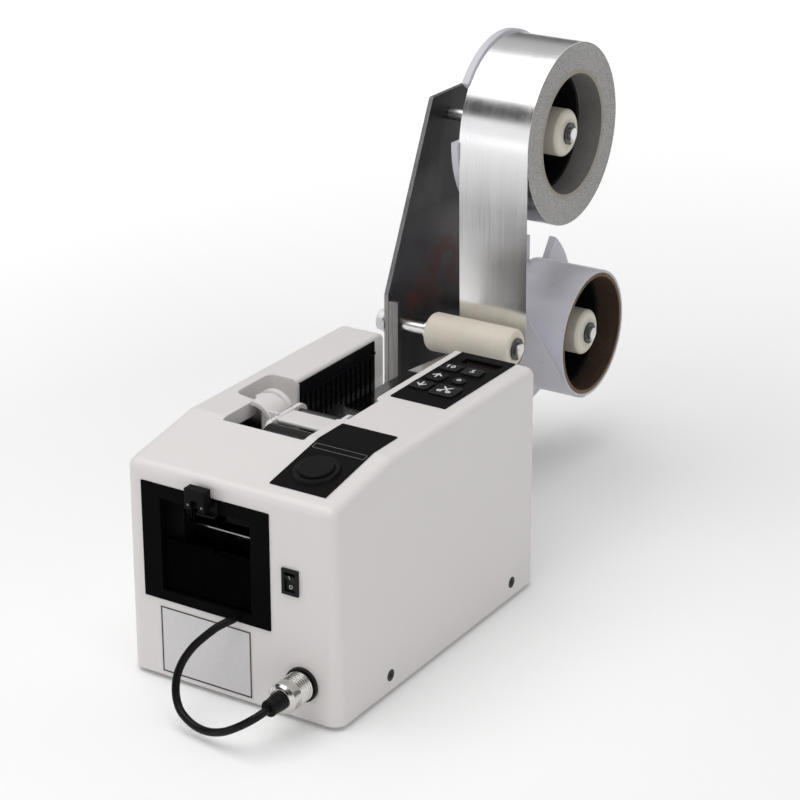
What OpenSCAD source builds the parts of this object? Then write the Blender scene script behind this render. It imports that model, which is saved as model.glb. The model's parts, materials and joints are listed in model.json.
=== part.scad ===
// Motor-driven desk tape dispenser with a reel stand that winds up the peeled liner.
// Millimetres, +Z up, front (the tape exit) towards -Y, the reel stand's plate on the -X side.

/* [Housing] */
// Width of the moulded housing
housing_w = 140; // [138:1:150]
// Distance from the middle of the push button's panel to the right wall
right_w = 67; // [66:0.5:70]
// Length of the housing, front to back
housing_l = 215; // [208:1:228]
// Height of the flat roof above the housing's bottom edge
roof_h = 138; // [136:1:146]
// How far the front edge of the sloping roof lies below the flat roof
brow_drop = 10.5; // [8:0.5:14]
// Distance from the front face to the fold of the roof
fold_back = 57.5; // [54:0.5:58]
// Wall thickness of the housing
wall = 3; // [2.4:0.1:3.4]
// How far each wall leans in at roof height
draft = 1.6; // [0.8:0.1:2]
// Radius of the upright corners
corner_r = 8; // [6:0.5:10]
// Radius of the roof edges
roof_r = 6; // [4.5:0.5:7]
// Height of the rubber feet
foot_h = 3; // [2:0.5:5]
// Radius of a rubber foot
foot_r = 7; // [5:0.5:9]
// Thickness of the steel base plate
base_t = 1.5; // [1:0.1:2]

/* [Tape well] */
// Left side of the well
well_left = -41.5; // [-42.5:0.5:-41]
// Width of the well at its back
well_w = 54; // [53.5:0.5:55]
// Height of the well's floor above the housing's bottom edge
well_floor = 40; // [36:1:46]
// Thickness of the well's walls
well_t = 2.5; // [2:0.1:3]
// Number of upright ribs on the black liner
liner_ribs = 15; // [8:1:16]

/* [Tape] */
// Width of the tape
tape_w = 48; // [40:0.5:48]
// Thickness drawn for the tape
tape_t = 0.4; // [0.3:0.05:0.5]
// Inner radius of the card cores
core_r = 38.1; // [37.5:0.1:39]
// Wall of the supply core
supply_core_t = 3; // [2:0.5:4]
// Radius of the full supply roll
supply_r = 57.5; // [50:0.5:60]
// Wall of the take-up core
takeup_core_t = 2.5; // [2:0.5:3]
// Radius of the wound liner
takeup_r = 42.4; // [41.2:0.2:50]

/* [Reel stand] */
// Thickness of the stand's steel plate
plate_t = 3; // [2:0.5:3.5]
// Gap between the stand's plate and the housing
stand_gap = 4; // [3:0.5:6]
// Radius of the three steel axles
axle_r = 4; // [3:0.5:4.5]
// Radius of the guide roller
guide_r = 12.5; // [9:0.5:13]
// Length of the guide roller
guide_len = 61; // [52:1:64]
// Radius of a reel's nylon hub
hub_r = 15; // [12:0.5:17]
// Outer radius of the lobed flanges
lobe_r = 59.5; // [58.5:0.5:62]
// Angle that each flange lobe spans
lobe_span = 84; // [70:1:95]
// Thickness of a lobed flange
lobe_t = 4.5; // [3:0.5:5]

/* [Feed and cutter] */
// Radius of the rubber drive roller
drive_r = 10; // [9:0.5:10.5]
// Radius of the black pinch roller
pinch_r = 12; // [11:0.5:12]
// Teeth on the drive gear
gear_teeth = 32; // [28:2:34]
// Teeth on each motor pinion
pinion_teeth = 16; // [14:2:18]
// Downward stroke of the moving blade
cut_stroke = 13; // [10:0.5:13]
// Radius of a gear motor
motor_r = 15; // [12:0.5:16]

/* [Controls] */
// Diameter of the round push button
button_d = 24; // [20:0.5:25]
// Travel of the round push button
button_travel = 2; // [1:0.25:2.5]
// Travel of a keypad key
key_travel = 1; // [0.5:0.1:1.2]
// Width of the rocker switch frame
rocker_w = 10.5; // [10:0.5:12]
// Height of the rocker switch frame
rocker_h = 15; // [14:0.5:17]

/* [Sensor cable] */
// Diameter of the sensor cable
cable_d = 4.5; // [3.5:0.1:5]
// Diameter of the plug's coupling ring
ring_d = 17.5; // [17:0.1:19]

/* [Hidden] */
$fn = 64;
// Clearance between pieces that move past each other
gap = 0.3;
// Radial clearance of a running fit
fit = 0.05;
// Small overrun that keeps cuts clean
eps = 0.5;

// Main planes of the housing, measured from the floor
left_w = housing_w - right_w;
function side_w(side) = side < 0 ? left_w : right_w;
half_l = housing_l / 2;
floor_z = foot_h;
roof_z = foot_h + roof_h;
brow_z = roof_z - brow_drop;
front_y = -half_l;
rear_y = half_l;
fold_y = front_y + fold_back;
slope = atan((roof_z - brow_z) / fold_back);
ceiling_z = roof_z - wall;

// Tape well and tape position
well_right = well_left + well_w;
well_z = floor_z + well_floor;
well_front_y = front_y + 89.5;
// The well is wider on the right beside the lever
side_bay = 3.5;
bay_back_y = front_y + 127.5;
// The roof opening reaches a little further left in front of the scoop
opening_left = well_left - 2.5;
opening_front_y = front_y + 53;
// Finger scoop beside the lever
scoop_left = well_left - 18.5;
scoop_front_y = front_y + 84;
scoop_back_y = front_y + 122;
scoop_depth = 22;
// Rounding of the well's left edge
edge_r = 3;
tape_right = well_right - 0.7;
tape_left = tape_right - tape_w;
tape_mid = (tape_left + tape_right) / 2;

// Reel stand, placed from the back of the housing
plate_in = -left_w - stand_gap;
plate_out = plate_in - plate_t;
guide_pos = [rear_y + 69.5, roof_z - 23.5];
supply_pos = guide_pos + [68, 121.2];
takeup_pos = guide_pos + [103, -22.9];
guide_right = tape_right + 0.2;
guide_left = guide_right - guide_len;
stand_front = guide_pos[0] - 8;
stand_rear = takeup_pos[0] + 22;
stand_foot_w = 22;
supply_turn = 101;
takeup_turn = 12;
flange_in = tape_left - 0.2;
flange_out = flange_in - lobe_t;
hub_right = tape_right - 3;
clip_t = 1.2;
thread_r = 3;
bolt_head_h = 5.5;
bolt_af = 13;
washer_t = 1.5;

// Feed unit: pinch roller above, drive roller below, tape between
lever_pos = [front_y + 99.5, roof_z - 10];
pinch_pos = [front_y + 67.5, roof_z - 16];
nip_gap = tape_t + 2 * gap;
drive_pos = pinch_pos - [0, pinch_r + nip_gap + drive_r];
nip_z = pinch_pos[1] - pinch_r - gap - tape_t / 2;
lever_pin_r = axle_r;
pinch_shaft_r = 3;
shaft_r = 1.5;
frame_t = 1.5;
frame_left = tape_left - 2;
frame_right = tape_right + 2.2;
frame_back_y = front_y + 85.5;
frame_front_y = front_y + 6.5;
gear_x = well_right + 6.5;
gear_t = 5;
motor_face_x = gear_x + gear_t + 3;
motor_end_x = right_w - wall - draft - 1.9;
pinch_right = frame_right - 7;
pinch_left = pinch_right - 30;
lever_left = pinch_left - 3;
// Axis of the round thumb grip on the lever, as [x, z]
grip_pos = [opening_left + 3, roof_z - 10.5];
grip_r = 12.4;
lever_right = pinch_right + 3;
gear_module = 1;
gear_gap = 0.35;
feed_angle = -42;
mesh_distance = gear_module * (gear_teeth + pinion_teeth) / 2 + gear_gap;
feed_pos = drive_pos + mesh_distance * [cos(feed_angle), sin(feed_angle)];
pinion_pitch_r = gear_module * pinion_teeth / 2;

// Cutter
fixed_edge_z = nip_z - 18.5;
blade_left = frame_left + frame_t + gap;
blade_right = frame_right - gap;
fixed_y = front_y + 16.5;
blade_t = 2;
moving_y = fixed_y - blade_t - 0.2;
moving_edge_z = fixed_edge_z + cut_stroke - 2;
carriage_low = moving_edge_z + 3;
carriage_t = 6;
rack_x = gear_x - 1;
rack_t = gear_t;
rack_y = front_y + 28.5;
cutter_pos = [rack_y + pinion_pitch_r + gear_gap, fixed_edge_z - 19];

// Tie rods between the frames, and rods from the right frame to the motor plate
tie_r = 3;
pilot_r = 4;
tie_rods = [[front_y + 47.5, nip_z - 25.5], [front_y + 47.5, floor_z + 30], [front_y + 73.5, floor_z + 58]];
plate_rods = [[front_y + 19.5, floor_z + 58], [front_y + 52.5, floor_z + 55], [front_y + 73.5, floor_z + 58]];

// Front panel
bezel_left = -60.5;
bezel_right = 23.5;
bezel_low = floor_z + 48;
bezel_high = brow_z - 10.5;
mouth_left = -48;
mouth_right = 11.7;
mouth_low = floor_z + 54;
mouth_high = brow_z - 18;
bezel_t = 2;
bezel_proud = 0.8;
bezel_y = front_y - bezel_proud;
tunnel_t = 2;
tunnel_back_y = front_y + 6.3;
// Thin wall at the back of the tunnel that hides the left frame
cheek_t = 0.75;
exit_high = fixed_edge_z - 6;
rocker_pos = [37.2, floor_z + 81];
rocker_tilt = 10;
socket_pos = [43.7, floor_z + 21.6];
socket_r = 8;
sensor_x = -17.5;
sensor_front_y = front_y - 9.5;
inlet_pos = [44, floor_z + 24];

// Roof panels
button_back = 29.5;
button_x = 34.8;
panel_t = 0.8;
auto_left = 17.4;
auto_right = 53;
auto_front_y = front_y + 10.5;
auto_back_y = front_y + 81;
keypad_left = 18;
keypad_right = 54;
keypad_front_y = rear_y - 85.5;
keypad_back_y = rear_y - 6;
key_proud = 2.2;
key_foot_z = ceiling_z - gap - 1.2;
board_z = ceiling_z - 9;
board_t = 1.6;
board_left = well_right + side_bay + well_t + 1.5;
// Each key: centre x, centre y, width, length, corner radius
keys = [
    [26.5, rear_y - 32.5, 11.5, 9, 1.5],
    [41, rear_y - 32.5, 12.5, 9, 1.5],
    [26.5, rear_y - 48.5, 11, 11, 3],
    [41, rear_y - 48.5, 8, 8, 3.9],
    [25.5, rear_y - 64, 12.5, 11, 2],
    [42, rear_y - 65, 16, 14.5, 2]
];
display_box = [25.5, 50.5, rear_y - 21.5, rear_y - 13];

// Screws through the housing's sides into the base plate's flanges
side_screw_y = [front_y + 52, rear_y - 28.5];
side_screw_z = floor_z + 9.4;
flange_h = 18;
base_gap = 0.7;
base_in = wall + base_gap;
// Rubber feet, each with a stud pressed into its hole
stud_r = 1.7;
foot_in = 16;
foot_y = half_l - 18;
stand_foot_x = plate_in + 12;
foot_places = [
    [-left_w + foot_in, -foot_y],
    [right_w - foot_in, -foot_y],
    [-left_w + foot_in, foot_y],
    [right_w - foot_in, foot_y],
    [stand_foot_x, stand_front + 12],
    [stand_foot_x, stand_rear - 12]
];
// Screws that hold the stand plate to the left wall
stand_screw_at = [for (y = [rear_y - 49.5, rear_y - 15.5], z = [floor_z + 30, floor_z + 56]) [y, z]];

// Route of the sensor cable, from the bezel to the plug's boot: x, out from the front face, up from the base
cable_points = [
    [2, -0.8, 51], [1.6, -4.5, 50.8], [0, -8.5, 50.2], [-3.5, -12.5, 48], [-8, -17, 43.5],
    [-13, -21.5, 37.5], [-16.5, -26.5, 30], [-17, -31.5, 22.5], [-14.5, -36, 15], [-9.5, -39.5, 9],
    [-2, -42, 5.5], [6, -43.5, 4], [14.5, -44.5, 4.8], [23, -45, 7.8], [30.5, -44.5, 12],
    [36.5, -42.8, 16], [41, -39.8, 19.3], [43.2, -36, 21.1], [43.7, -32.5, 21.6]
];
cable_route = [for (p = cable_points) [p[0], front_y + p[1], floor_z + p[2]]];
boot_end_y = front_y - 32.5;
ring_front_y = front_y - 21.5;
ring_back_y = front_y - 3;

// The part's origin: middle of the footprint, on the floor
left_end = plate_out - washer_t - bolt_head_h;
right_end = right_w;
front_end = sensor_front_y;
rear_end = takeup_pos[0] + lobe_r;
mid_x = (left_end + right_end) / 2;
mid_y = (front_end + rear_end) / 2;

// Unit vector of a 2-D or 3-D vector
function unit(v) = v / norm(v);

// Points of a rounded corner at b, between a and c
function corner(a, b, c, r, steps = 6) =
    let (
        u = unit(a - b),
        v = unit(c - b),
        half = acos(u * v) / 2,
        reach = r / tan(half),
        centre = b + unit(u + v) * r / sin(half),
        from = atan2((b + u * reach - centre)[1], (b + u * reach - centre)[0]),
        to = atan2((b + v * reach - centre)[1], (b + v * reach - centre)[0]),
        turn = (to - from + 540) % 360 - 180
    )
    [for (i = [0 : steps]) centre + r * [cos(from + turn * i / steps), sin(from + turn * i / steps)]];

// A closed outline whose points [x, y, radius] are rounded where the radius is above zero
function rounded(points) =
    let (n = len(points))
    [for (i = [0 : n - 1])
        let (
            b = [points[i][0], points[i][1]],
            a = [points[(i + n - 1) % n][0], points[(i + n - 1) % n][1]],
            c = [points[(i + 1) % n][0], points[(i + 1) % n][1]]
        )
        each points[i][2] > 0 ? corner(a, b, c, points[i][2]) : [b]];

// Height of the roof's outer face at a distance y
function roof_at(y) = y >= fold_y ? roof_z : brow_z + (y - front_y) * tan(slope);

// Points on an arc in the YZ plane
function arc_yz(centre, r, from, to, steps = 12) =
    [for (i = [0 : steps])
        let (a = from + (to - from) * i / steps)
        centre + r * [cos(a), sin(a)]];

// Unit normal of the inner tangent of two circles, pointing from the line to the first one
function tangent_normal(c1, r1, c2, r2) =
    let (d = c1 - c2, a = atan2(d[1], d[0]) - acos((r1 + r2) / norm(d)))
    [cos(a), sin(a)];

// Draws its children in the part's own frame
module part_frame() {
    translate([-mid_x, -mid_y, 0]) children();
}

// A block between two corners
module block(low, high) {
    translate(low) cube(high - low);
}

// A rod along X between x0 and x1 at [y, z]
module rod_x(r, x0, x1, at) {
    translate([x0, at[0], at[1]]) rotate([0, 90, 0]) cylinder(r = r, h = x1 - x0);
}

// A tube along X
module tube_x(r_out, r_in, x0, x1, at) {
    difference() {
        rod_x(r_out, x0, x1, at);
        rod_x(r_in, x0 - eps, x1 + eps, at);
    }
}

// A rod along Y between y0 and y1 at [x, z]
module rod_y(r, y0, y1, at) {
    translate([at[0], y1, at[1]]) rotate([90, 0, 0]) cylinder(r = r, h = y1 - y0);
}

// Lays an outline drawn in [y, z] along X, from x0 to x1
module along_x(x0, x1) {
    translate([x0, 0, 0]) rotate([90, 0, 90]) linear_extrude(height = x1 - x0) children();
}

// A flat rectangle with round corners, centred
module round_rect(w, l, r) {
    square([w - 2 * r, l], center = true);
    square([w, l - 2 * r], center = true);
    for (sx = [-1, 1], sy = [-1, 1]) {
        translate([sx * (w / 2 - r), sy * (l / 2 - r)]) circle(r = r);
    }
}

// A spur gear along X, with straight-sided teeth
module gear_x(teeth, x0, x1, at, turn) {
    pitch_r = gear_module * teeth / 2;
    root_r = pitch_r - 1.25 * gear_module;
    tip_r = pitch_r + 0.9 * gear_module;
    step = 360 / teeth;
    outline = [for (i = [0 : teeth - 1])
        let (a = turn + i * step)
        each [
            root_r * [cos(a - 0.31 * step), sin(a - 0.31 * step)],
            tip_r * [cos(a - 0.1 * step), sin(a - 0.1 * step)],
            tip_r * [cos(a + 0.1 * step), sin(a + 0.1 * step)],
            root_r * [cos(a + 0.31 * step), sin(a + 0.31 * step)]
        ]];
    translate([0, at[0], at[1]]) along_x(x0, x1) polygon(outline);
}

// A strip of tape, laid along an open path of [y, z] points
module strip(path, t) {
    n = len(path);
    normals = [for (i = [0 : n - 1])
        let (d = unit(path[min(i + 1, n - 1)] - path[max(i - 1, 0)]))
        [-d[1], d[0]]];
    upper = [for (i = [0 : n - 1]) path[i] + normals[i] * t / 2];
    lower = [for (i = [n - 1 : -1 : 0]) path[i] - normals[i] * t / 2];
    along_x(tape_left, tape_right) polygon(concat(upper, lower));
}

// The housing's outer form, or the same form drawn in by an inset
module housing_form(inset, low) {
    r_top = max(roof_r - inset, 1);
    r_low = corner_r - inset;
    y_low = half_l - corner_r;
    y_top = half_l - inset - r_top;
    brow_c = roof_at(-y_top) - (inset + r_top) / cos(slope);
    fold_c = fold_y + (inset + r_top) * tan(slope / 2);
    top_c = roof_z - inset - r_top;
    hull() {
        for (sx = [-1, 1]) {
            x_low = side_w(sx) - corner_r;
            x_top = side_w(sx) - draft - inset - r_top;
            for (sy = [-1, 1]) {
                translate([sx * x_low, sy * y_low, low]) cylinder(r = r_low, h = 1, $fn = 32);
            }
            translate([sx * x_top, -y_top, brow_c]) sphere(r = r_top, $fn = 32);
            translate([sx * x_top, fold_c, top_c]) sphere(r = r_top, $fn = 32);
            translate([sx * x_top, y_top, top_c]) sphere(r = r_top, $fn = 32);
        }
    }
}

// The hole in the roof over the feed unit and the well
module roof_opening() {
    outline = rounded([
        [opening_left, opening_front_y, 1.5],
        [well_right - 2, opening_front_y, 1.5],
        [well_right - 2, frame_back_y, 1],
        [well_right + side_bay, well_front_y, 2],
        [well_right + side_bay, bay_back_y - 7, 1],
        [well_right + 1, bay_back_y - 5.5, 1],
        [well_right, bay_back_y - 2, 2],
        [well_right, rear_y + eps, 0],
        [well_left, rear_y + eps, 0],
        [well_left, scoop_front_y + 4, 0],
        [opening_left, scoop_front_y + 4, 0]
    ]);
    translate([0, 0, ceiling_z - eps]) linear_extrude(height = wall + 2 * eps) polygon(outline);
}

// Rounds the top edge of the well's left wall
module soft_edge() {
    centre = [well_left - edge_r, roof_z - edge_r];
    curve = arc_yz(centre, edge_r, 90, 0, 6);
    outside = [[well_left + eps, centre[1]], [well_left + eps, roof_z + eps], [centre[0], roof_z + eps]];
    translate([0, rear_y + eps, 0]) rotate([90, 0, 0])
        linear_extrude(height = rear_y + eps - scoop_back_y) polygon(concat(outside, curve));
}

// Wall that hangs along the left edge of the opening, in front of the scoop
module opening_skirt() {
    block([opening_left - 2, opening_front_y - 3, roof_z - 9], [opening_left, scoop_front_y + 1.5, roof_z]);
}

// The finger scoop beside the pinch lever; extra above zero gives the form of its wall
module finger_scoop(extra) {
    side = rounded([
        [scoop_front_y - extra, roof_z + eps + extra, 0],
        [scoop_front_y + 9 - extra, roof_z - 13 - extra, 6],
        [scoop_front_y + 18.5, roof_z - scoop_depth - extra, 6],
        [scoop_back_y + extra, roof_z - scoop_depth - extra, 5],
        [scoop_back_y + extra, roof_z + eps + extra, 0]
    ]);
    right = extra > 0 ? well_left : well_left + eps;
    plan = rounded([
        [right, scoop_front_y - extra, 0],
        [scoop_left - extra, scoop_front_y + 4 - extra, 6],
        [scoop_left - extra, scoop_back_y + extra, 5 + extra],
        [well_left, scoop_back_y + extra, 2],
        [well_left, scoop_back_y + extra + 4, 0],
        [right + eps, scoop_back_y + extra + 4, 0]
    ]);
    intersection() {
        along_x(-left_w, right_w) polygon(side);
        linear_extrude(height = roof_z + 2 * eps) polygon(plan);
    }
}

// Walls of the well, hanging from the roof
module well_walls() {
    block([well_left - well_t, well_front_y, well_z - well_t], [well_left, rear_y, roof_z]);
    bay_right = well_right + side_bay;
    block([bay_right, well_front_y, well_z - well_t], [bay_right + well_t, rear_y, roof_z]);
    block([well_right, bay_back_y, well_z - well_t], [bay_right + eps, rear_y, roof_z]);
    translate([well_right + 3, bay_back_y, well_z - well_t]) cylinder(r = 3, h = roof_z - well_z + well_t);
    block([well_left - well_t, well_front_y, well_z - well_t], [bay_right + 1.5, rear_y, well_z]);
    block([well_left - well_t, well_front_y, well_z - well_t],
          [bay_right + 1.5, well_front_y + well_t, well_z + 50]);
}

// Posts that carry the control board
module board_posts() {
    for (x = [board_left + 3, right_w - 10], y = [keypad_front_y - 4, keypad_back_y - 2]) {
        translate([x, y, board_z + board_t]) cylinder(r = 2.5, h = ceiling_z - board_z - board_t + eps);
    }
}

// Raised landing on the left wall for the reel stand's plate
module stand_landing() {
    block([plate_in, rear_y - 58, floor_z + 22], [-left_w + wall - 0.5, rear_y - 8.5, floor_z + 64]);
}

// A screw hole through a side wall, with its countersink
module side_hole(side, y) {
    translate([side * (side_w(side) + 0.2), y, side_screw_z]) rotate([0, -90 * side, 0]) {
        cylinder(r = 2.1, h = 8);
        cylinder(r1 = 3.9, r2 = 2.1, h = 2);
    }
}

// Places its children on the sloping roof, at the round button
module on_slope() {
    y = front_y + button_back;
    translate([button_x, y, roof_at(y)]) rotate([slope, 0, 0]) children();
}

module housing() color("whitesmoke") difference() {
    union() {
        difference() {
            housing_form(0, floor_z);
            housing_form(wall, floor_z - 3);
        }
        intersection() {
            housing_form(wall / 2, floor_z);
            union() {
                well_walls();
                finger_scoop(well_t);
                opening_skirt();
            }
        }
        board_posts();
        stand_landing();
    }
    roof_opening();
    finger_scoop(0);
    soft_edge();
    // Open back of the well
    block([well_left, well_front_y + 40, well_z + 30], [well_right, rear_y + eps, roof_z + eps]);
    // Passage from the feed unit into the well, and the hole in the front wall
    block([well_left, well_front_y - eps, nip_z - 9],
          [well_right + side_bay, well_front_y + well_t + eps, ceiling_z]);
    block([bezel_left + 3, front_y - eps, bezel_low + 3],
          [bezel_right - 3, front_y + wall + 2, bezel_high - 3]);
    block([bezel_left - gap, front_y - eps, bezel_low - gap],
          [bezel_right + gap, bezel_y + bezel_t, bezel_high + gap]);
    // Rocker switch, socket, power inlet
    block([rocker_pos[0] - rocker_w / 2 + 0.8, front_y - eps, rocker_pos[1] - rocker_h / 2 + 0.8],
          [rocker_pos[0] + rocker_w / 2 - 0.8, front_y + wall + 2, rocker_pos[1] + rocker_h / 2 - 0.8]);
    rod_y(socket_r, front_y - eps, front_y + wall + 2, socket_pos);
    rod_y(5.05, rear_y - wall - 2, rear_y + eps, inlet_pos);
    // Round button, keys and display
    on_slope() translate([0, 0, -wall - 2]) cylinder(r = button_d / 2 - 1, h = wall + 4);
    for (k = keys) {
        translate([k[0], k[1], ceiling_z - eps]) linear_extrude(height = wall + 2 * eps)
            round_rect(k[2] + 2 * gap, k[3] + 2 * gap, k[4] + gap);
    }
    block([display_box[0], display_box[2], ceiling_z - eps], [display_box[1], display_box[3], roof_z + eps]);
    // Screws
    for (side = [-1, 1], y = side_screw_y) side_hole(side, y);
    for (at = stand_screw_at) rod_x(2.15, plate_in - eps, -left_w + wall + 3, at);
}

module base_plate() color("dimgray") {
    difference() {
        union() {
            translate([(right_w - left_w) / 2, 0, floor_z]) linear_extrude(height = base_t)
                round_rect(housing_w - 2 * base_in, housing_l - 2 * base_in, corner_r - wall);
            for (side = [-1, 1], y = side_screw_y) {
                w = side_w(side) - base_in;
                block([min(side * w, side * (w - base_t)), y - 12, floor_z],
                      [max(side * w, side * (w - base_t)), y + 12, floor_z + flange_h]);
            }
        }
        for (y = side_screw_y) rod_x(1.6, -left_w, right_w, [y, side_screw_z]);
        foot_holes();
    }
}

// Holes for the studs of the feet
module foot_holes() {
    for (at = foot_places) {
        translate([at[0], at[1], floor_z - eps]) cylinder(r = stud_r + fit, h = base_t + 2 * eps);
    }
}

// Rubber feet: four under the base plate, two under the stand's foot
module feet() color("black") {
    for (at = foot_places) translate([at[0], at[1], 0]) rotate_extrude() polygon([
        [0, 0],
        [foot_r - 0.8, 0],
        [foot_r, 0.8],
        [foot_r - 0.5, foot_h],
        [stud_r, foot_h],
        [stud_r, foot_h + base_t],
        [0, foot_h + base_t]
    ]);
}

module cover_screws() color("black") {
    reach = base_in + base_t + 1.5;
    for (side = [-1, 1], y = side_screw_y) {
        translate([side * (side_w(side) - 0.15), y, side_screw_z]) rotate([0, -90 * side, 0]) difference() {
            rotate_extrude() polygon([[0, 0], [3.5, 0], [1.9, 1.7], [1.55, 2.2], [1.55, reach], [0, reach]]);
            for (a = [0, 90]) rotate([0, 0, a]) translate([-2, -0.35, -eps]) cube([4, 0.7, 1 + eps]);
        }
    }
}

// Black panel on the left wall of the well: a plain band above, ribs below
module well_liner() color("black") {
    skin = 0.9;
    rib = 0.7;
    y0 = scoop_back_y + 2.5;
    y1 = rear_y - 10.5;
    band_z = roof_z - 11;
    step = (y1 - y0) / liner_ribs;
    block([well_left, y0, well_z + 18], [well_left + skin, y1, roof_z - edge_r]);
    block([well_left, y0, band_z], [well_left + skin + rib, y1, band_z + 1.2]);
    for (i = [0 : liner_ribs - 1]) {
        block([well_left, y0 + i * step, well_z + 18],
              [well_left + skin + rib, y0 + (i + 0.45) * step, band_z - 1]);
    }
}

module front_bezel() color([0.06, 0.06, 0.07]) difference() {
    union() {
        block([bezel_left, bezel_y, bezel_low], [bezel_right, bezel_y + bezel_t, bezel_high]);
        block([mouth_left - tunnel_t, bezel_y + eps, mouth_low - tunnel_t],
              [mouth_right + tunnel_t, tunnel_back_y, mouth_high + tunnel_t]);
    }
    block([mouth_left, bezel_y - eps, mouth_low], [mouth_right, tunnel_back_y - cheek_t, mouth_high]);
    block([blade_left, bezel_y - eps, mouth_low], [mouth_right, tunnel_back_y + eps, mouth_high]);
}

// Glossy black plate across the lower part of the mouth, with a small notch in its top edge
module exit_plate() color([0.03, 0.03, 0.035]) difference() {
    outline = rounded([
        [mouth_left, mouth_low, 0],
        [mouth_right, mouth_low, 0],
        [mouth_right, exit_high, 2],
        [mouth_left, exit_high, 2]
    ]);
    translate([0, bezel_y + 4.5, 0]) rotate([90, 0, 0]) linear_extrude(height = 2.2) polygon(outline);
    rod_y(2, bezel_y, bezel_y + 6, [tape_mid - 1, exit_high]);
}

module sensor_bracket() color([0.1, 0.1, 0.11]) {
    low = bezel_high - 9;
    block([sensor_x - 3, bezel_y - 1.2, low], [sensor_x + 9, bezel_y, bezel_high - 1]);
    block([sensor_x - 3, bezel_y - 4, low], [sensor_x + 9, bezel_y - 1.2, low + 1.2]);
    block([sensor_x - 6, bezel_y - 2.7, low + 5], [sensor_x + 5, bezel_y - 1.2, bezel_high + 6]);
}

module sensor_head() color([0.05, 0.05, 0.05]) difference() {
    low = bezel_high - 4.5;
    block([sensor_x - 7, sensor_front_y, low], [sensor_x + 6, bezel_y - 2.7, low + 12]);
    block([sensor_x - 3, sensor_front_y - eps, low - eps], [sensor_x + 2, sensor_front_y + 3.5, low + 5.5]);
    for (dx = [-5, 4]) rod_y(0.9, sensor_front_y - eps, sensor_front_y + 1.5, [sensor_x + dx, low + 2.5]);
}

// Lower steel blade with a bevelled edge
module fixed_blade() color("silver") {
    along_x(blade_left, blade_right) polygon([
        [fixed_y, fixed_edge_z - 29],
        [fixed_y + 2 * blade_t, fixed_edge_z - 29],
        [fixed_y + 2 * blade_t, fixed_edge_z - 6],
        [fixed_y, fixed_edge_z]
    ]);
}

// Left and right steel frames of the feed unit, and the plate that carries the motors
module side_frames() color("lightslategray") {
    foot_z = floor_z + base_t;
    slot_low = carriage_low + 2 - cut_stroke - gap;
    slot_high = carriage_low + 12 + gap;
    outline = rounded([
        [frame_front_y + 8, foot_z, 0],
        [frame_back_y, foot_z, 0],
        [frame_back_y, drive_pos[1] + 8, 6],
        [lever_pos[0] + 7, lever_pos[1] - 12, 4],
        [lever_pos[0] + 7, lever_pos[1] + 6.5, 6.4],
        [lever_pos[0] - 7, lever_pos[1] + 6.5, 6.4],
        [lever_pos[0] - 7, drive_pos[1] + 15, 4],
        [frame_front_y + 20, brow_z - 5, 4],
        [frame_front_y, brow_z - 5, 3],
        [frame_front_y, floor_z + 58, 4],
        [frame_front_y + 8, floor_z + 50, 4]
    ]);
    for (x = [frame_left, frame_right]) {
        difference() {
            along_x(x, x + frame_t) polygon(outline);
            rod_x(axle_r + fit, x - eps, x + frame_t + eps, drive_pos);
            for (at = tie_rods) rod_x(tie_r + fit, x - eps, x + frame_t + eps, at);
            rod_x(lever_pin_r + fit, x - eps, x + frame_t + eps, lever_pos);
            block([x - eps, moving_y - carriage_t - gap, slot_low],
                  [x + frame_t + eps, moving_y + gap, slot_high]);
        }
        block([x, frame_front_y + 8, foot_z], [x + 10, frame_back_y, foot_z + frame_t]);
    }
    difference() {
        block([motor_face_x - frame_t, front_y + 14.5, cutter_pos[1] - 24],
              [motor_face_x, front_y + 105.5, nip_z - 1.5]);
        for (at = [feed_pos, cutter_pos]) rod_x(pilot_r + fit, motor_face_x - 4, motor_face_x + eps, at);
        for (at = plate_rods) rod_x(tie_r + fit, motor_face_x - 4, motor_face_x + eps, at);
        rod_x(axle_r + fit, motor_face_x - 4, motor_face_x + eps, drive_pos);
    }
}

// Lever pin, tie rods between the frames and rods out to the motor plate
module frame_rods() color("silver") {
    rod_x(lever_pin_r, frame_left, frame_right + frame_t, lever_pos);
    for (at = tie_rods) rod_x(tie_r, frame_left, frame_right + frame_t, at);
    for (at = plate_rods) rod_x(tie_r, frame_right + frame_t, motor_face_x, at);
}

// Torsion spring on the lever pin: one unbroken wire with two straight legs
module lever_spring() color("silver") {
    wire_r = 0.35;
    coil_r = lever_pin_r + 0.9;
    pitch = 0.9;
    per_turn = 12;
    last = 2.5 * per_turn;
    x0 = lever_right + wire_r + gap;
    leg = 8;
    coil = [for (i = [0 : last])
        let (a = 360 * i / per_turn)
        [x0 + pitch * i / per_turn, lever_pos[0] + coil_r * cos(a), lever_pos[1] + coil_r * sin(a)]];
    last_x = coil[last][0];
    back_y = lever_pos[0] + coil_r;
    front = lever_pos[0] - coil_r;
    first_leg = [[x0, back_y, lever_pos[1] - leg], [x0, back_y, lever_pos[1] - 2]];
    last_leg = [[last_x, front, lever_pos[1] - 2], [last_x, front, lever_pos[1] - leg]];
    tube(concat(first_leg, coil, last_leg), wire_r, 6);
}

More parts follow.
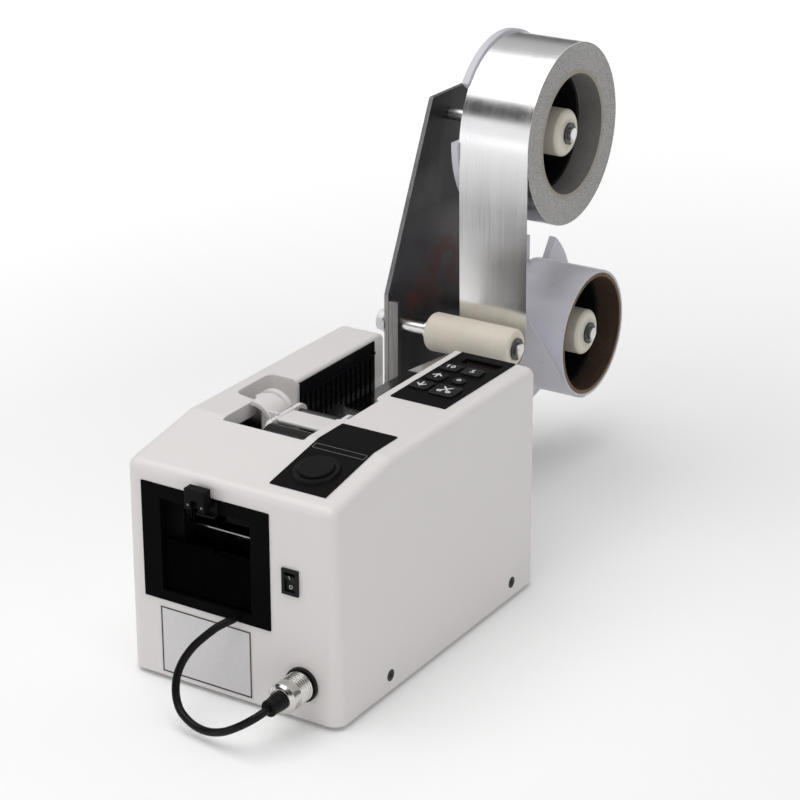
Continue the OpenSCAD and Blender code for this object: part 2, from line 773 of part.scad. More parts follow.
// A tube swept along a list of points
module tube(points, r, sides) {
    n = len(points);
    dirs = [for (i = [0 : n - 1]) unit(points[min(i + 1, n - 1)] - points[max(i - 1, 0)])];
    side_axis = unit(cross(dirs[0], [0.31, 0.17, 0.93]));
    frames = [
        for (i = 0, u = side_axis; i < n; i = i + 1, u = i < n ? unit(u - dirs[i] * (u * dirs[i])) : u) u
    ];
    rings = [for (i = [0 : n - 1])
        let (u = frames[i], v = cross(dirs[i], u))
        for (s = [0 : sides - 1])
            points[i] + r * (u * cos(360 * s / sides) + v * sin(360 * s / sides))];
    walls = [for (i = [0 : n - 2], s = [0 : sides - 1])
        let (a = i * sides + s, b = i * sides + (s + 1) % sides)
        each [[a, a + sides, b + sides], [a, b + sides, b]]];
    low_end = [for (s = [1 : sides - 2]) [0, s, s + 1]];
    top = (n - 1) * sides;
    high_end = [for (s = [1 : sides - 2]) [top, top + s + 1, top + s]];
    polyhedron(rings, concat(walls, low_end, high_end));
}

// Two equal gear motors: gearbox, can and rear cap
module gear_motors() color("gray") {
    for (at = [feed_pos, cutter_pos]) difference() {
        union() {
            rod_x(motor_r, motor_face_x, motor_face_x + 16, at);
            rod_x(motor_r - 1.2, motor_face_x + 15.5, motor_end_x - 2.5, at);
            rod_x(motor_r - 4, motor_end_x - 3, motor_end_x, at);
            rod_x(pilot_r, motor_face_x - 1, motor_face_x + 1, at);
        }
        rod_x(shaft_r + fit, motor_face_x - 2, motor_face_x + 14, at);
    }
}

module control_board() color("darkgreen") {
    block([board_left, keypad_front_y - 7, board_z], [right_w - 8, keypad_back_y + 1, board_z + board_t]);
    for (k = keys) {
        translate([k[0] - 3, k[1] - 3, board_z + board_t]) cube([6, 6, 3.4]);
        translate([k[0], k[1], board_z + board_t])
            cylinder(r = 1.75, h = key_foot_z - key_travel - board_z - board_t);
    }
    for (i = [0 : 2]) {
        y = keypad_front_y + 8 + 22 * i;
        block([right_w - 9.5, y - 7, board_z - 6], [right_w - 8, y + 7, board_z]);
    }
}

module keypad_panel() color([0.07, 0.07, 0.08]) difference() {
    block([keypad_left, keypad_front_y, roof_z], [keypad_right, keypad_back_y, roof_z + panel_t]);
    for (k = keys) {
        translate([k[0], k[1], roof_z - eps]) linear_extrude(height = panel_t + 2 * eps)
            round_rect(k[2] + 2 * gap, k[3] + 2 * gap, k[4] + gap);
    }
    block([display_box[0], display_box[2], roof_z - eps], [display_box[1], display_box[3], roof_z + 2]);
}

// Digit display below its slot in the panel, standing on the control board
module display_window() color([0.15, 0.05, 0.05]) {
    block([display_box[0] + gap, display_box[2] + gap, board_z + board_t],
          [display_box[1] - gap, display_box[3] - gap, roof_z - 1.2]);
}

// Thin black panel that follows the fold of the roof
module auto_panel() color([0.07, 0.07, 0.08]) difference() {
    along_x(auto_left, auto_right) polygon([
        [auto_front_y, roof_at(auto_front_y)],
        [fold_y, roof_z],
        [auto_back_y, roof_z],
        [auto_back_y, roof_z + panel_t],
        [fold_y - panel_t * tan(slope / 2), roof_z + panel_t],
        [auto_front_y - panel_t * sin(slope), roof_at(auto_front_y) + panel_t * cos(slope)]
    ]);
    on_slope() translate([0, 0, -2]) cylinder(r = button_d / 2 - 1, h = 6);
}

// Ring and barrel of the round push button
module auto_switch() color([0.09, 0.09, 0.1]) on_slope() {
    ring_r = button_d / 2 + 1.5;
    bore_r = button_d / 2 - 2 + gap;
    difference() {
        union() {
            translate([0, 0, panel_t]) cylinder(r1 = ring_r, r2 = ring_r - 0.8, h = 1.6);
            translate([0, 0, -16]) cylinder(r = button_d / 2 - 1 - 0.1, h = 17);
        }
        translate([0, 0, -14]) cylinder(r = bore_r, h = 20);
    }
}

module auto_button() color([0.05, 0.05, 0.055]) on_slope() {
    r = button_d / 2 - 2;
    translate([0, 0, -14 + button_travel + gap]) cylinder(r = r * 0.6, h = 14);
    top = panel_t + 3.1;
    rim = [[r, top - 0.7], [r - 0.6, top - 0.1], [r - 1.2, top]];
    rotate_extrude() polygon(concat([[0, -2], [r, -2]], rim, [[0, top - 0.4]]));
}

module keycap(i) {
    k = keys[i];
    translate([k[0], k[1], 0]) color([0.06, 0.06, 0.065]) {
        translate([0, 0, key_foot_z]) linear_extrude(height = 1.2)
            round_rect(k[2] + 1.4, k[3] + 1.4, k[4]);
        translate([0, 0, key_foot_z + 1]) linear_extrude(height = roof_z + key_proud - key_foot_z - 1.4)
            round_rect(k[2], k[3], k[4]);
        translate([0, 0, key_foot_z + 1]) linear_extrude(height = roof_z + key_proud - key_foot_z - 1)
            round_rect(k[2] - 0.8, k[3] - 0.8, k[4] - 0.4);
    }
}

module key_coarse() keycap(0);
module key_fine() keycap(1);
module key_up() keycap(2);
module key_mode() keycap(3);
module key_down() keycap(4);
module key_cut() keycap(5);

// Frame of the power switch: flange outside, open box inside
module rocker_frame() color([0.06, 0.06, 0.06]) difference() {
    w = rocker_w / 2;
    h = rocker_h / 2;
    union() {
        block([rocker_pos[0] - w, front_y - 1.4, rocker_pos[1] - h],
              [rocker_pos[0] + w, front_y, rocker_pos[1] + h]);
        block([rocker_pos[0] - w + 1, front_y - 1, rocker_pos[1] - h + 1],
              [rocker_pos[0] + w - 1, front_y + 11, rocker_pos[1] + h - 1]);
    }
    block([rocker_pos[0] - w + 1.9, front_y - 2, rocker_pos[1] - h + 1.9],
          [rocker_pos[0] + w - 1.9, front_y + 9.5, rocker_pos[1] + h - 1.9]);
    rod_x(1, rocker_pos[0] - w + 1.2, rocker_pos[0] + w - 1.2, [front_y + 3, rocker_pos[1]]);
}

// Tilting paddle of the power switch, on its own small pivots
module rocker() color([0.08, 0.08, 0.08]) {
    w = rocker_w / 2 - 1.9 - 0.25;
    h = rocker_h / 2 - 1.9 - 0.9;
    pivot = [front_y + 3, rocker_pos[1]];
    translate([0, pivot[0], pivot[1]]) rotate([rocker_tilt, 0, 0]) {
        along_x(rocker_pos[0] - w, rocker_pos[0] + w)
            polygon([[-4, -h], [-3.1, 0], [-4, h], [0.5, h - 0.6], [2.5, 1], [2.5, -1], [0.5, 0.6 - h]]);
        rod_x(1 - fit, rocker_pos[0] - rocker_w / 2 + 1.4, rocker_pos[0] + rocker_w / 2 - 1.4, [0, 0]);
    }
}

// Round panel socket: gasket outside, threaded barrel through the wall, nut inside
module panel_socket() color("silver") {
    difference() {
        union() {
            rod_y(10, front_y - 2, front_y, socket_pos);
            rod_y(socket_r - 0.1, front_y - 1, front_y + 12, socket_pos);
            rod_y(7.2, ring_front_y + 10, front_y, socket_pos);
        }
        rod_y(5.6, ring_front_y + 9, front_y + 8, socket_pos);
    }
    difference() {
        rod_y_hex(11, front_y + wall + 0.1, front_y + wall + 3, socket_pos);
        rod_y(socket_r + 0.05, front_y + wall - 1, front_y + wall + 4, socket_pos);
    }
}

// A hexagonal rod along Y
module rod_y_hex(r, y0, y1, at) {
    translate([at[0], y1, at[1]]) rotate([90, 0, 0]) cylinder(r = r, h = y1 - y0, $fn = 6);
}

// Metal coupling ring of the plug, grooved at its back half
module plug_ring() color("silver") {
    groove = 0.5;
    profile_len = ring_back_y - ring_front_y;
    r = ring_d / 2;
    grooves = 6;
    translate([socket_pos[0], ring_back_y, socket_pos[1]]) rotate([90, 0, 0]) rotate_extrude() polygon(concat(
        [[7.4, 0], [r, 0]],
        [for (i = [0 : grooves - 1]) each [[r, 0.6 + i * 1.7], [r - groove, 1 + i * 1.7],
                                           [r - groove, 1.7 + i * 1.7], [r, 2.1 + i * 1.7]]],
        [[r, profile_len - 2], [r - 1.2, profile_len - 0.8], [r - 2.2, profile_len], [5.3, profile_len],
         [5.3, profile_len - 6], [7.4, profile_len - 6]]
    ));
}

// Tapered rubber boot between the plug and the cable
module plug_boot() color("black") {
    length = ring_front_y - boot_end_y;
    translate([socket_pos[0], ring_front_y, socket_pos[1]]) rotate([90, 0, 0]) rotate_extrude() polygon([
        [0, -5],
        [5.3, -5],
        [5.3, 2],
        [4.6, length - 2.4],
        [4.8, length - 2],
        [4.8, length - 0.6],
        [4.2, length],
        [0, length]
    ]);
}

module sensor_cable() color("black") {
    tube(cable_route, cable_d / 2, 10);
}

// Low-voltage inlet in the back wall
module dc_inlet() color([0.05, 0.05, 0.05]) {
    difference() {
        union() {
            rod_y(7, rear_y, rear_y + 2, inlet_pos);
            rod_y(5, rear_y - 14, rear_y + 1, inlet_pos);
        }
        rod_y(3.2, rear_y - 10, rear_y + 3, inlet_pos);
    }
    rod_y(1, rear_y - 11, rear_y - 0.5, inlet_pos);
}

// Steel plate of the reel stand, with a lip bent along its front edge and a foot bent inwards
module stand_plate() color("gray") {
    lip_y = guide_pos[0] - axle_r - 3.2;
    lip_w = 7;
    lip_top = guide_pos[1] + 20.5;
    arm_low = floor_z + 20;
    arm_top = floor_z + 66;
    arm_front = rear_y - 63.5;
    plate_top = supply_pos[1] + 15.5;
    outline = rounded([
        [arm_front, arm_low, 6],
        [stand_front - 8, arm_low, 8],
        [stand_front, floor_z, 0],
        [stand_rear, floor_z, 0],
        [stand_rear, takeup_pos[1] + 20, 14],
        [supply_pos[0] + 22, plate_top, 3],
        [supply_pos[0] - 21.5, plate_top, 2],
        [lip_y, lip_top, 4],
        [lip_y, arm_top + 8, 8],
        [lip_y - 8, arm_top, 8],
        [arm_front, arm_top, 6]
    ]);
    difference() {
        union() {
            along_x(plate_out, plate_in) polygon(outline);
            block([plate_in - 0.5, lip_y + 0.2, arm_top + 10], [plate_in + lip_w, lip_y + 3, lip_top - 4]);
            block([plate_out, stand_front, floor_z],
                  [plate_in + stand_foot_w, stand_rear, floor_z + plate_t]);
        }
        for (at = [guide_pos, supply_pos, takeup_pos]) {
            rod_x(thread_r + 0.1, plate_out - eps, plate_in + eps, at);
        }
        for (at = stand_screw_at) rod_x(2.15, plate_out - eps, plate_in + eps, at);
        foot_holes();
    }
}

// Screws and nuts that hold the stand plate to the left wall
module stand_screws() color("silver") {
    for (at = stand_screw_at) {
        translate([plate_out, at[0], at[1]]) rotate([0, 90, 0]) difference() {
            rotate_extrude() polygon([
                [0, -2.6],
                [2.6, -2.6],
                [3.8, -1.6],
                [4, 0],
                [2, 0],
                [2, plate_t + stand_gap + wall + 8],
                [0, plate_t + stand_gap + wall + 8]
            ]);
            translate([0, 0, -3]) cylinder(r = 1.5, h = 1.8, $fn = 6);
        }
        lean = draft * (at[1] - floor_z) / (roof_h - roof_r);
        difference() {
            translate([-left_w + lean + wall + 0.1, at[0], at[1]]) rotate([0, 90, 0])
                cylinder(r = 4, h = 3.2, $fn = 6);
            rod_x(2.02, -left_w, -left_w + wall + 8, at);
        }
    }
}

// Two reel axles and the guide roller's shaft: shouldered at the plate, grooved for a clip
module axle(at, seat_x, clip_x) {
    difference() {
        union() {
            rod_x(axle_r, plate_in, clip_x + clip_t + 2.2, at);
            rod_x(axle_r + 2, seat_x - gap - 3, seat_x - gap, at);
            rod_x(thread_r, plate_out - washer_t, plate_in + 1, at);
        }
        tube_x(axle_r + 1, axle_r - 0.8, clip_x, clip_x + clip_t, at);
    }
}

module axles() color("silver") {
    axle(guide_pos, guide_left, guide_right + gap);
    axle(supply_pos, flange_out, hub_right + gap);
    axle(takeup_pos, flange_out, hub_right + gap);
}

// Hex bolt heads and washers on the outer side of the stand plate
module axle_bolts() color("lightgray") {
    for (at = [guide_pos, supply_pos, takeup_pos]) {
        tube_x(8, thread_r + 0.1, plate_out - washer_t, plate_out, at);
        intersection() {
            translate([left_end, at[0], at[1]]) rotate([0, 90, 0])
                cylinder(r = bolt_af / sqrt(3), h = bolt_head_h, $fn = 6);
            translate([left_end, at[0], at[1]]) rotate([0, 90, 0])
                cylinder(r1 = bolt_af / 2, r2 = bolt_af / 2 + 7, h = bolt_head_h + 2);
        }
    }
}

// Spring clips in the axle grooves
module axle_clips() color("dimgray") {
    for (place = [[guide_pos, guide_right], [supply_pos, hub_right], [takeup_pos, hub_right]]) {
        x0 = place[1] + gap + 0.1;
        at = place[0];
        difference() {
            tube_x(axle_r + 3, axle_r - 0.75, x0, x0 + clip_t - 0.2, at);
            translate([x0 - eps, at[0], at[1]]) rotate([35, 0, 0]) translate([0, -axle_r + 1.2, -20])
                cube([clip_t + 1, 2 * axle_r - 2.4, 20]);
        }
    }
}

// Foil from the front of the supply roll, down behind the guide roller and under it
module foil_web() color("silver") {
    half_t = tape_t / 2;
    r1 = supply_r + gap + half_t;
    r2 = guide_r + gap + half_t;
    n = tangent_normal(supply_pos, r1, guide_pos, r2);
    turn = atan2(n[1], n[0]);
    strip(concat([supply_pos - r1 * n], arc_yz(guide_pos, r2, turn, -90, 10)), tape_t);
}

// Tape from the guide roller, through the well and the nip, to the cutter
module tape_lead() color("lightgray") {
    r2 = guide_r + gap + tape_t / 2;
    strip([
        guide_pos - [0.6, r2],
        [rear_y + 20, nip_z - 3],
        [rear_y - 47.5, nip_z - 1.6],
        [lever_pos[0] + 8, nip_z],
        [pinch_pos[0], nip_z],
        [pinch_pos[0] - 14, nip_z - 1.5],
        [fixed_y + 2, fixed_edge_z + 4]
    ], tape_t);
}

// Liner that peels off the back of the foil above the guide roller and runs under the take-up roll
module liner_web() color("white") {
    wound_r = takeup_r + gap + tape_t / 2;
    r1 = supply_r + gap + tape_t / 2;
    r2 = guide_r + gap + tape_t / 2;
    n = tangent_normal(supply_pos, r1, guide_pos, r2);
    behind = n * (tape_t + gap);
    top = supply_pos - r1 * n + behind;
    low = guide_pos + r2 * n + behind;
    peel = top + (low - top) * 0.86;
    d = peel - takeup_pos;
    meet = atan2(d[1], d[0]) + acos(wound_r / norm(d));
    touch = takeup_pos + wound_r * [cos(meet), sin(meet)];
    bend = [for (f = [0.75, 0.8, 0.83]) top + (low - top) * f];
    fall = [for (f = [0.06, 0.15, 0.5]) peel + (touch - peel) * f];
    strip(concat(bend, fall, arc_yz(takeup_pos, wound_r, meet, meet + 40, 6)), tape_t);
}

// Flange with three wide lobes, on the side of a reel next to the plate
module lobed_flange(at, turn) {
    inner_r = core_r - 3;
    difference() {
        rod_x(lobe_r, flange_out, flange_in, at);
        rod_x(hub_r + 0.02, flange_out - eps, flange_in + eps, at);
        for (i = [0 : 2]) {
            gap_mid = turn + 60 + 120 * i;
            half_gap = 60 - lobe_span / 2;
            cut = rounded([
                [inner_r * cos(half_gap), -inner_r * sin(half_gap), 6],
                [(lobe_r + 12) * cos(half_gap), -(lobe_r + 12) * sin(half_gap), 0],
                [(lobe_r + 12) * cos(half_gap), (lobe_r + 12) * sin(half_gap), 0],
                [inner_r * cos(half_gap), inner_r * sin(half_gap), 6]
            ]);
            translate([0, at[0], at[1]]) rotate([gap_mid, 0, 0])
                along_x(flange_out - eps, flange_in + eps) polygon(cut);
        }
    }
}

// Black drum that the core slides on: a closed back, a rim, a collar on the hub and three spokes
module core_drum(at) {
    depth = 32;
    spoke_len = 12;
    drum_r = core_r - 0.2;
    difference() {
        union() {
            tube_x(drum_r, drum_r - 2.2, flange_in, flange_in + depth, at);
            rod_x(drum_r, flange_in, flange_in + 2, at);
            for (a = [30, 150, 270]) {
                translate([flange_in, at[0], at[1]]) rotate([a, 0, 0]) translate([0, hub_r - 1, -1.5])
                    cube([spoke_len, drum_r - hub_r - 0.2, 3]);
            }
            rod_x(hub_r + 2.5, flange_in, flange_in + spoke_len + 2, at);
        }
        rod_x(hub_r + 0.02, flange_in - eps, flange_in + depth + eps, at);
    }
}

// Nylon hub with a stepped face and a running bore
module nylon_hub(at) {
    length = hub_right - flange_out;
    translate([flange_out, at[0], at[1]]) rotate([0, 90, 0]) rotate_extrude() polygon([
        [axle_r + fit, 0],
        [hub_r, 0],
        [hub_r, length - 2.5],
        [hub_r - 2, length - 0.7],
        [axle_r + 5, length - 0.7],
        [axle_r + 4.6, length],
        [axle_r + fit, length]
    ]);
}

module supply_flange() color("white") lobed_flange(supply_pos, supply_turn);
module takeup_flange() color("white") lobed_flange(takeup_pos, takeup_turn);
module supply_drum() color("black") core_drum(supply_pos);
module takeup_drum() color("black") core_drum(takeup_pos);
module supply_hub() color("ivory") nylon_hub(supply_pos);
module takeup_hub() color("ivory") nylon_hub(takeup_pos);

// A ring as wide as the tape, for the cores and the wound rolls
module tape_ring(r_out, r_in, at) tube_x(r_out, r_in, tape_left, tape_right, at);

module supply_core() color("tan") tape_ring(core_r + supply_core_t, core_r, supply_pos);
module takeup_core() color("sienna") tape_ring(core_r + takeup_core_t, core_r, takeup_pos);
module supply_roll() color("silver") tape_ring(supply_r, core_r + supply_core_t, supply_pos);
module takeup_roll() color("white") tape_ring(takeup_r, core_r + takeup_core_t, takeup_pos);

module guide_roller() color("ivory") {
    translate([guide_left, guide_pos[0], guide_pos[1]]) rotate([0, 90, 0]) rotate_extrude() polygon([
        [axle_r + fit, 0], [guide_r - 2.5, 0], [guide_r - 0.8, 1], [guide_r, 3], [guide_r, guide_len - 2],
        [guide_r - 1.2, guide_len], [axle_r + fit, guide_len]
    ]);
}

// Rubber drive roller on its steel shaft
module drive_roller() color([0.2, 0.2, 0.2]) {
    rod_x(drive_r, blade_left, blade_right, drive_pos);
    rod_x(axle_r, frame_left - 2, motor_face_x, drive_pos);
}

module drive_gear() color("wheat") difference() {
    gear_x(gear_teeth, gear_x, gear_x + gear_t, drive_pos, feed_angle);
    rod_x(axle_r + 0.02, gear_x - eps, gear_x + gear_t + eps, drive_pos);
}

module feed_pinion() color("goldenrod") {
    gear_x(pinion_teeth, gear_x, gear_x + gear_t, feed_pos, feed_angle + 180 + 180 / pinion_teeth);
    rod_x(shaft_r, gear_x, motor_face_x + 10, feed_pos);
}

// White lever that lifts the pinch roller: two arms, a cover and a thumb grip
module pinch_lever() color("white") {
    arm_t = 2.6;
    arm = rounded([
        [pinch_pos[0] - 5, pinch_pos[1] - 5, 4.5],
        [lever_pos[0] + 7, lever_pos[1] - 7, 6.5],
        [lever_pos[0] + 7, lever_pos[1] + 6.5, 6],
        [pinch_pos[0] + 4, roof_z - 4, 3],
        [pinch_pos[0] - 5, pinch_pos[1] + 6, 4.5]
    ]);
    cover = rounded([
        [pinch_pos[0] + 9.5, roof_z - 6.6, 0],
        [lever_pos[0] - 6, lever_pos[1] + 3, 0],
        [lever_pos[0] - 6, lever_pos[1] + 5.6, 1],
        [pinch_pos[0] + 8.5, roof_z - 4, 1.2]
    ]);
    cheek = rounded([
        [pinch_pos[0] + 2, pinch_pos[1] - 1, 3],
        [lever_pos[0] + 6, lever_pos[1] - 4, 4],
        [lever_pos[0] + 6, lever_pos[1] + 4, 4],
        [pinch_pos[0] + 4, roof_z - 5, 4]
    ]);
    difference() {
        union() {
            along_x(lever_left, lever_left + arm_t) polygon(arm);
            along_x(lever_right - arm_t, lever_right) polygon(arm);
            along_x(lever_left, lever_right) polygon(cover);
            along_x(lever_left - 2, lever_left + 1) polygon(cheek);
            thumb_grip();
        }
        rod_x(lever_pin_r + fit, lever_left - 14, lever_right + eps, lever_pos);
    }
    rod_x(pinch_shaft_r, lever_left + 1, lever_right - 1, pinch_pos);
}

// An arched rib of the thumb grip, a piece of a tube along Y
module grip_rib(r, t, y0, y1, to) {
    outline = concat(arc_yz([0, 0], r, 15, to, 12), arc_yz([0, 0], r - t, to, 15, 12));
    translate([grip_pos[0], y1, grip_pos[1]]) rotate([90, 0, 0])
        linear_extrude(height = y1 - y0) polygon(outline);
}

// Thumb grip on the lever's left: a wide arched rib, a groove and a narrow rib, on a flat ledge
module thumb_grip() {
    front = lever_pos[0] - 21.5;
    groove = lever_pos[0] - 7;
    back = lever_pos[0] + 1.2;
    narrow = 3.7;
    // The wide rib stays clear of the opening's left edge in front
    plan = [
        [opening_left + 1.5, front],
        [lever_left, front],
        [lever_left, groove],
        [grip_pos[0] - 8.5, groove],
        [opening_left + 1.5, scoop_front_y]
    ];
    intersection() {
        grip_rib(grip_r, 2.5, front, groove, 135);
        linear_extrude(height = 2 * roof_z) polygon(plan);
    }
    grip_rib(grip_r - 1.5, 2, groove - 1, back - narrow + 1, 130);
    grip_rib(grip_r, 2.5, back - narrow, back, 135);
    block([grip_pos[0] + 9, front, grip_pos[1] + 1], [lever_left + 1, back, grip_pos[1] + 3.6]);
    block([blade_left + 0.4, front + 1.5, grip_pos[1] - 8], [lever_left + 1, front + 3.5, grip_pos[1] + 8]);
}

module pinch_roller() color([0.08, 0.08, 0.08]) {
    tube_x(pinch_r, pinch_shaft_r + fit, pinch_left, pinch_right, pinch_pos);
}

// Black carriage of the moving blade: cross bar, right-hand arm and its rack
module blade_carriage() color([0.12, 0.12, 0.13]) {
    front = moving_y - carriage_t;
    rack_end = rack_x + rack_t;
    rack_pitch = PI * gear_module;
    block([blade_left, front, carriage_low], [blade_right, moving_y, carriage_low + 15]);
    block([frame_left - 1, front, carriage_low + 3], [blade_left + 1, moving_y, carriage_low + 11]);
    block([blade_right - 1, front, carriage_low + 2], [rack_end, moving_y, carriage_low + 12]);
    block([rack_x, front, carriage_low + 2], [rack_end, rack_y - 2, carriage_low + 9]);
    difference() {
        block([rack_x, rack_y - 5, cutter_pos[1] - 4 * rack_pitch],
              [rack_end, rack_y + 0.9, carriage_low + 9]);
        for (i = [-4 : 7]) {
            z = cutter_pos[1] + i * rack_pitch;
            along_x(rack_x - eps, rack_end + eps) polygon([
                [rack_y - 1.3, z - 0.62],
                [rack_y + 1.4, z - 1.4],
                [rack_y + 1.4, z + 1.4],
                [rack_y - 1.3, z + 0.62]
            ]);
        }
    }
}

// Upper steel blade, ground to a slanting edge so that it shears from one side
module moving_blade() color("silver") {
    shear = 1.4;
    translate([0, moving_y + blade_t, 0]) rotate([90, 0, 0]) linear_extrude(height = blade_t) polygon([
        [blade_left, moving_edge_z + shear],
        [blade_right, moving_edge_z],
        [blade_right, moving_edge_z + 18],
        [blade_left, moving_edge_z + 18]
    ]);
}

module cutter_pinion() color("goldenrod") {
    gear_x(pinion_teeth, rack_x, rack_x + rack_t, cutter_pos, 180);
    rod_x(shaft_r, rack_x, motor_face_x + 10, cutter_pos);
}

part_frame() {
    housing();
    base_plate();
    feet();
    cover_screws();
    well_liner();
    front_bezel();
    exit_plate();
    sensor_bracket();
    sensor_head();
    fixed_blade();
    side_frames();
    frame_rods();
    lever_spring();
    gear_motors();
    control_board();
    keypad_panel();
    display_window();
    auto_panel();
    auto_switch();
    rocker_frame();
    panel_socket();
    dc_inlet();
    stand_plate();
    stand_screws();
    axles();
    axle_bolts();
    axle_clips();
    foil_web();
    tape_lead();
    liner_web();
    sensor_cable();
    plug_ring();
    plug_boot();
    supply_flange();
    supply_drum();
    supply_hub();
    supply_core();
    supply_roll();
    takeup_flange();
    takeup_drum();
    takeup_hub();
    takeup_core();
    takeup_roll();
    guide_roller();
    drive_roller();
    drive_gear();
    feed_pinion();
    pinch_lever();
    pinch_roller();
    blade_carriage();
    moving_blade();
    cutter_pinion();
    auto_button();
    key_coarse();
    key_fine();
    key_up();
    key_mode();
    key_down();
    key_cut();
    rocker();
}
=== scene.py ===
import json
import math
import bpy
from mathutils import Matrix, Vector
from mathutils.bvhtree import BVHTree


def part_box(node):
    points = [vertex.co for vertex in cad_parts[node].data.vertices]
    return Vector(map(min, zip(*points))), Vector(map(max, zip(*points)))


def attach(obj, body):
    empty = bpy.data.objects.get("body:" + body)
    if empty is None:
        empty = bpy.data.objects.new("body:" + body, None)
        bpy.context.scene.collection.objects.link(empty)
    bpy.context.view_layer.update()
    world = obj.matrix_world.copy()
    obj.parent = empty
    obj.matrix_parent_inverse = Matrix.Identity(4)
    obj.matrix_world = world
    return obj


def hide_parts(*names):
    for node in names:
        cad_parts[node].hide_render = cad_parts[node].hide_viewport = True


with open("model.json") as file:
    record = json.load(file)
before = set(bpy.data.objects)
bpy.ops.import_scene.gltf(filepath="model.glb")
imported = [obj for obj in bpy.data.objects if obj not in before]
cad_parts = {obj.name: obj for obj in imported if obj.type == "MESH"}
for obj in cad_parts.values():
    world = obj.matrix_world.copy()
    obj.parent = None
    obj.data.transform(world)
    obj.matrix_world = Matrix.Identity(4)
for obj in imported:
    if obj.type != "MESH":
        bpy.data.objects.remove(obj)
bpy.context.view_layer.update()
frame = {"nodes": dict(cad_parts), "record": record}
cadNodes = frame["nodes"]
slotOf = {row["node"]: row["material_slot"] for row in frame["record"]["subparts"]}
print("frame:", len(cadNodes), "solids")

# places in the millimetres of the part's source: walls of the housing, edges of the tape, axles across the reel stand
housingRight, housingFront = 67, -107.5
tapeLeft, tapeRight = -36.2, 11.8
supplyAt, takeupAt, guideAt = (245, 238.7), (280, 94.6), (177, 117.5)
housingLow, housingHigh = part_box("housing")
shift = Vector((housingHigh[0] - housingRight / 1000, housingLow[1] - housingFront / 1000, 0))


# those millimetres to metres in the frame
def fromHousing(x, y, z):
    return Vector((x, y, z)) / 1000 + shift


# camera, at the photograph's place
cameraView = {"place": (705.8, -1066.5, 669.5), "yaw": 32.05, "pitch": 22.4, "lens": 110.68, "sensor": 36, "far": 50}


def makeCamera(view):
    data = bpy.data.cameras.new("photoCamera")
    data.sensor_width = view["sensor"]
    data.lens = view["lens"]
    data.clip_end = view["far"]
    camera = bpy.data.objects.new("photoCamera", data)
    camera.location = fromHousing(*view["place"])
    camera.rotation_euler = (math.radians(90 - view["pitch"]), 0, math.radians(view["yaw"]))
    bpy.context.collection.objects.link(camera)
    bpy.context.scene.camera = camera


makeCamera(cameraView)


# node helpers
def setSocket(tree, socket, value):
    if isinstance(value, bpy.types.NodeSocket):
        tree.links.new(value, socket)
    else:
        socket.default_value = value


def addNode(tree, kind, sockets=None, **settings):
    node = tree.nodes.new(kind)
    for key, value in settings.items():
        setattr(node, key, value)
    for key, value in (sockets or {}).items():
        setSocket(tree, node.inputs[key], value)
    return node


def mathNode(tree, operation, first, second=0.0, clamp=False):
    node = addNode(tree, "ShaderNodeMath", {0: first, 1: second}, operation=operation, use_clamp=clamp)
    return node.outputs[0]


def times(tree, first, second, clamp=False):
    return mathNode(tree, "MULTIPLY", first, second, clamp)


def blend(tree, first, second, share):
    return mathNode(tree, "ADD", times(tree, first, share), times(tree, second, 1 - share))


def vectorNode(tree, operation, first, second=(0, 0, 0), output=0):
    return addNode(tree, "ShaderNodeVectorMath", {0: first, 1: second}, operation=operation).outputs[output]


def axisOf(tree, vector, axis):
    return addNode(tree, "ShaderNodeSeparateXYZ", {0: vector}).outputs[axis]


def mixColor(tree, factor, first, second):
    node = addNode(tree, "ShaderNodeMix", {0: factor}, data_type="RGBA", blend_type="MIX")
    for index, color in ((6, first), (7, second)):
        setSocket(tree, node.inputs[index], color if isinstance(color, bpy.types.NodeSocket) else rgba(color))
    return node.outputs[2]


def spread(tree, value, fromLow, fromHigh, toLow=0, toHigh=1):
    node = addNode(tree, "ShaderNodeMapRange", {0: value, 1: fromLow, 2: fromHigh, 3: toLow, 4: toHigh})
    return node.outputs[0]


def noise(tree, vector, scale, detail=3.0, roughness=0.55):
    sockets = {"Vector": vector, "Scale": scale, "Detail": detail, "Roughness": roughness}
    return addNode(tree, "ShaderNodeTexNoise", sockets).outputs[0]


def cells(tree, vector, scale):
    return addNode(tree, "ShaderNodeTexVoronoi", {"Vector": vector, "Scale": scale}).outputs["Distance"]


def normalOf(tree):
    return addNode(tree, "ShaderNodeNewGeometry").outputs["Normal"]


# a colour, or one number for a grey
def rgba(color):
    return (*color, 1.0) if isinstance(color, tuple) else (color, color, color, 1.0)


# looks as rows under named columns, with the values that all rows share
def table(columns, rows, **shared):
    return {name: {**shared, **dict(zip(columns.split(), row))} for name, row in rows.items()}


# shared effects, each one a shader group
groups = {}


def startGroup(name, inputs, outputs):
    group = bpy.data.node_groups.new(name, "ShaderNodeTree")
    group.interface.new_socket("Vector", in_out="INPUT", socket_type="NodeSocketVector")
    for label, kind, value in inputs:
        group.interface.new_socket(label, in_out="INPUT", socket_type="NodeSocket" + kind).default_value = value
    for label, kind in outputs:
        group.interface.new_socket(label, in_out="OUTPUT", socket_type="NodeSocket" + kind)
    groups[name] = group
    return group, addNode(group, "NodeGroupInput").outputs, addNode(group, "NodeGroupOutput").inputs


def useGroup(tree, name, **sockets):
    return addNode(tree, "ShaderNodeGroup", sockets, node_tree=groups[name]).outputs


toneLook = {"finer": 9.0, "share": 0.7, "band": (0.35, 0.65)}


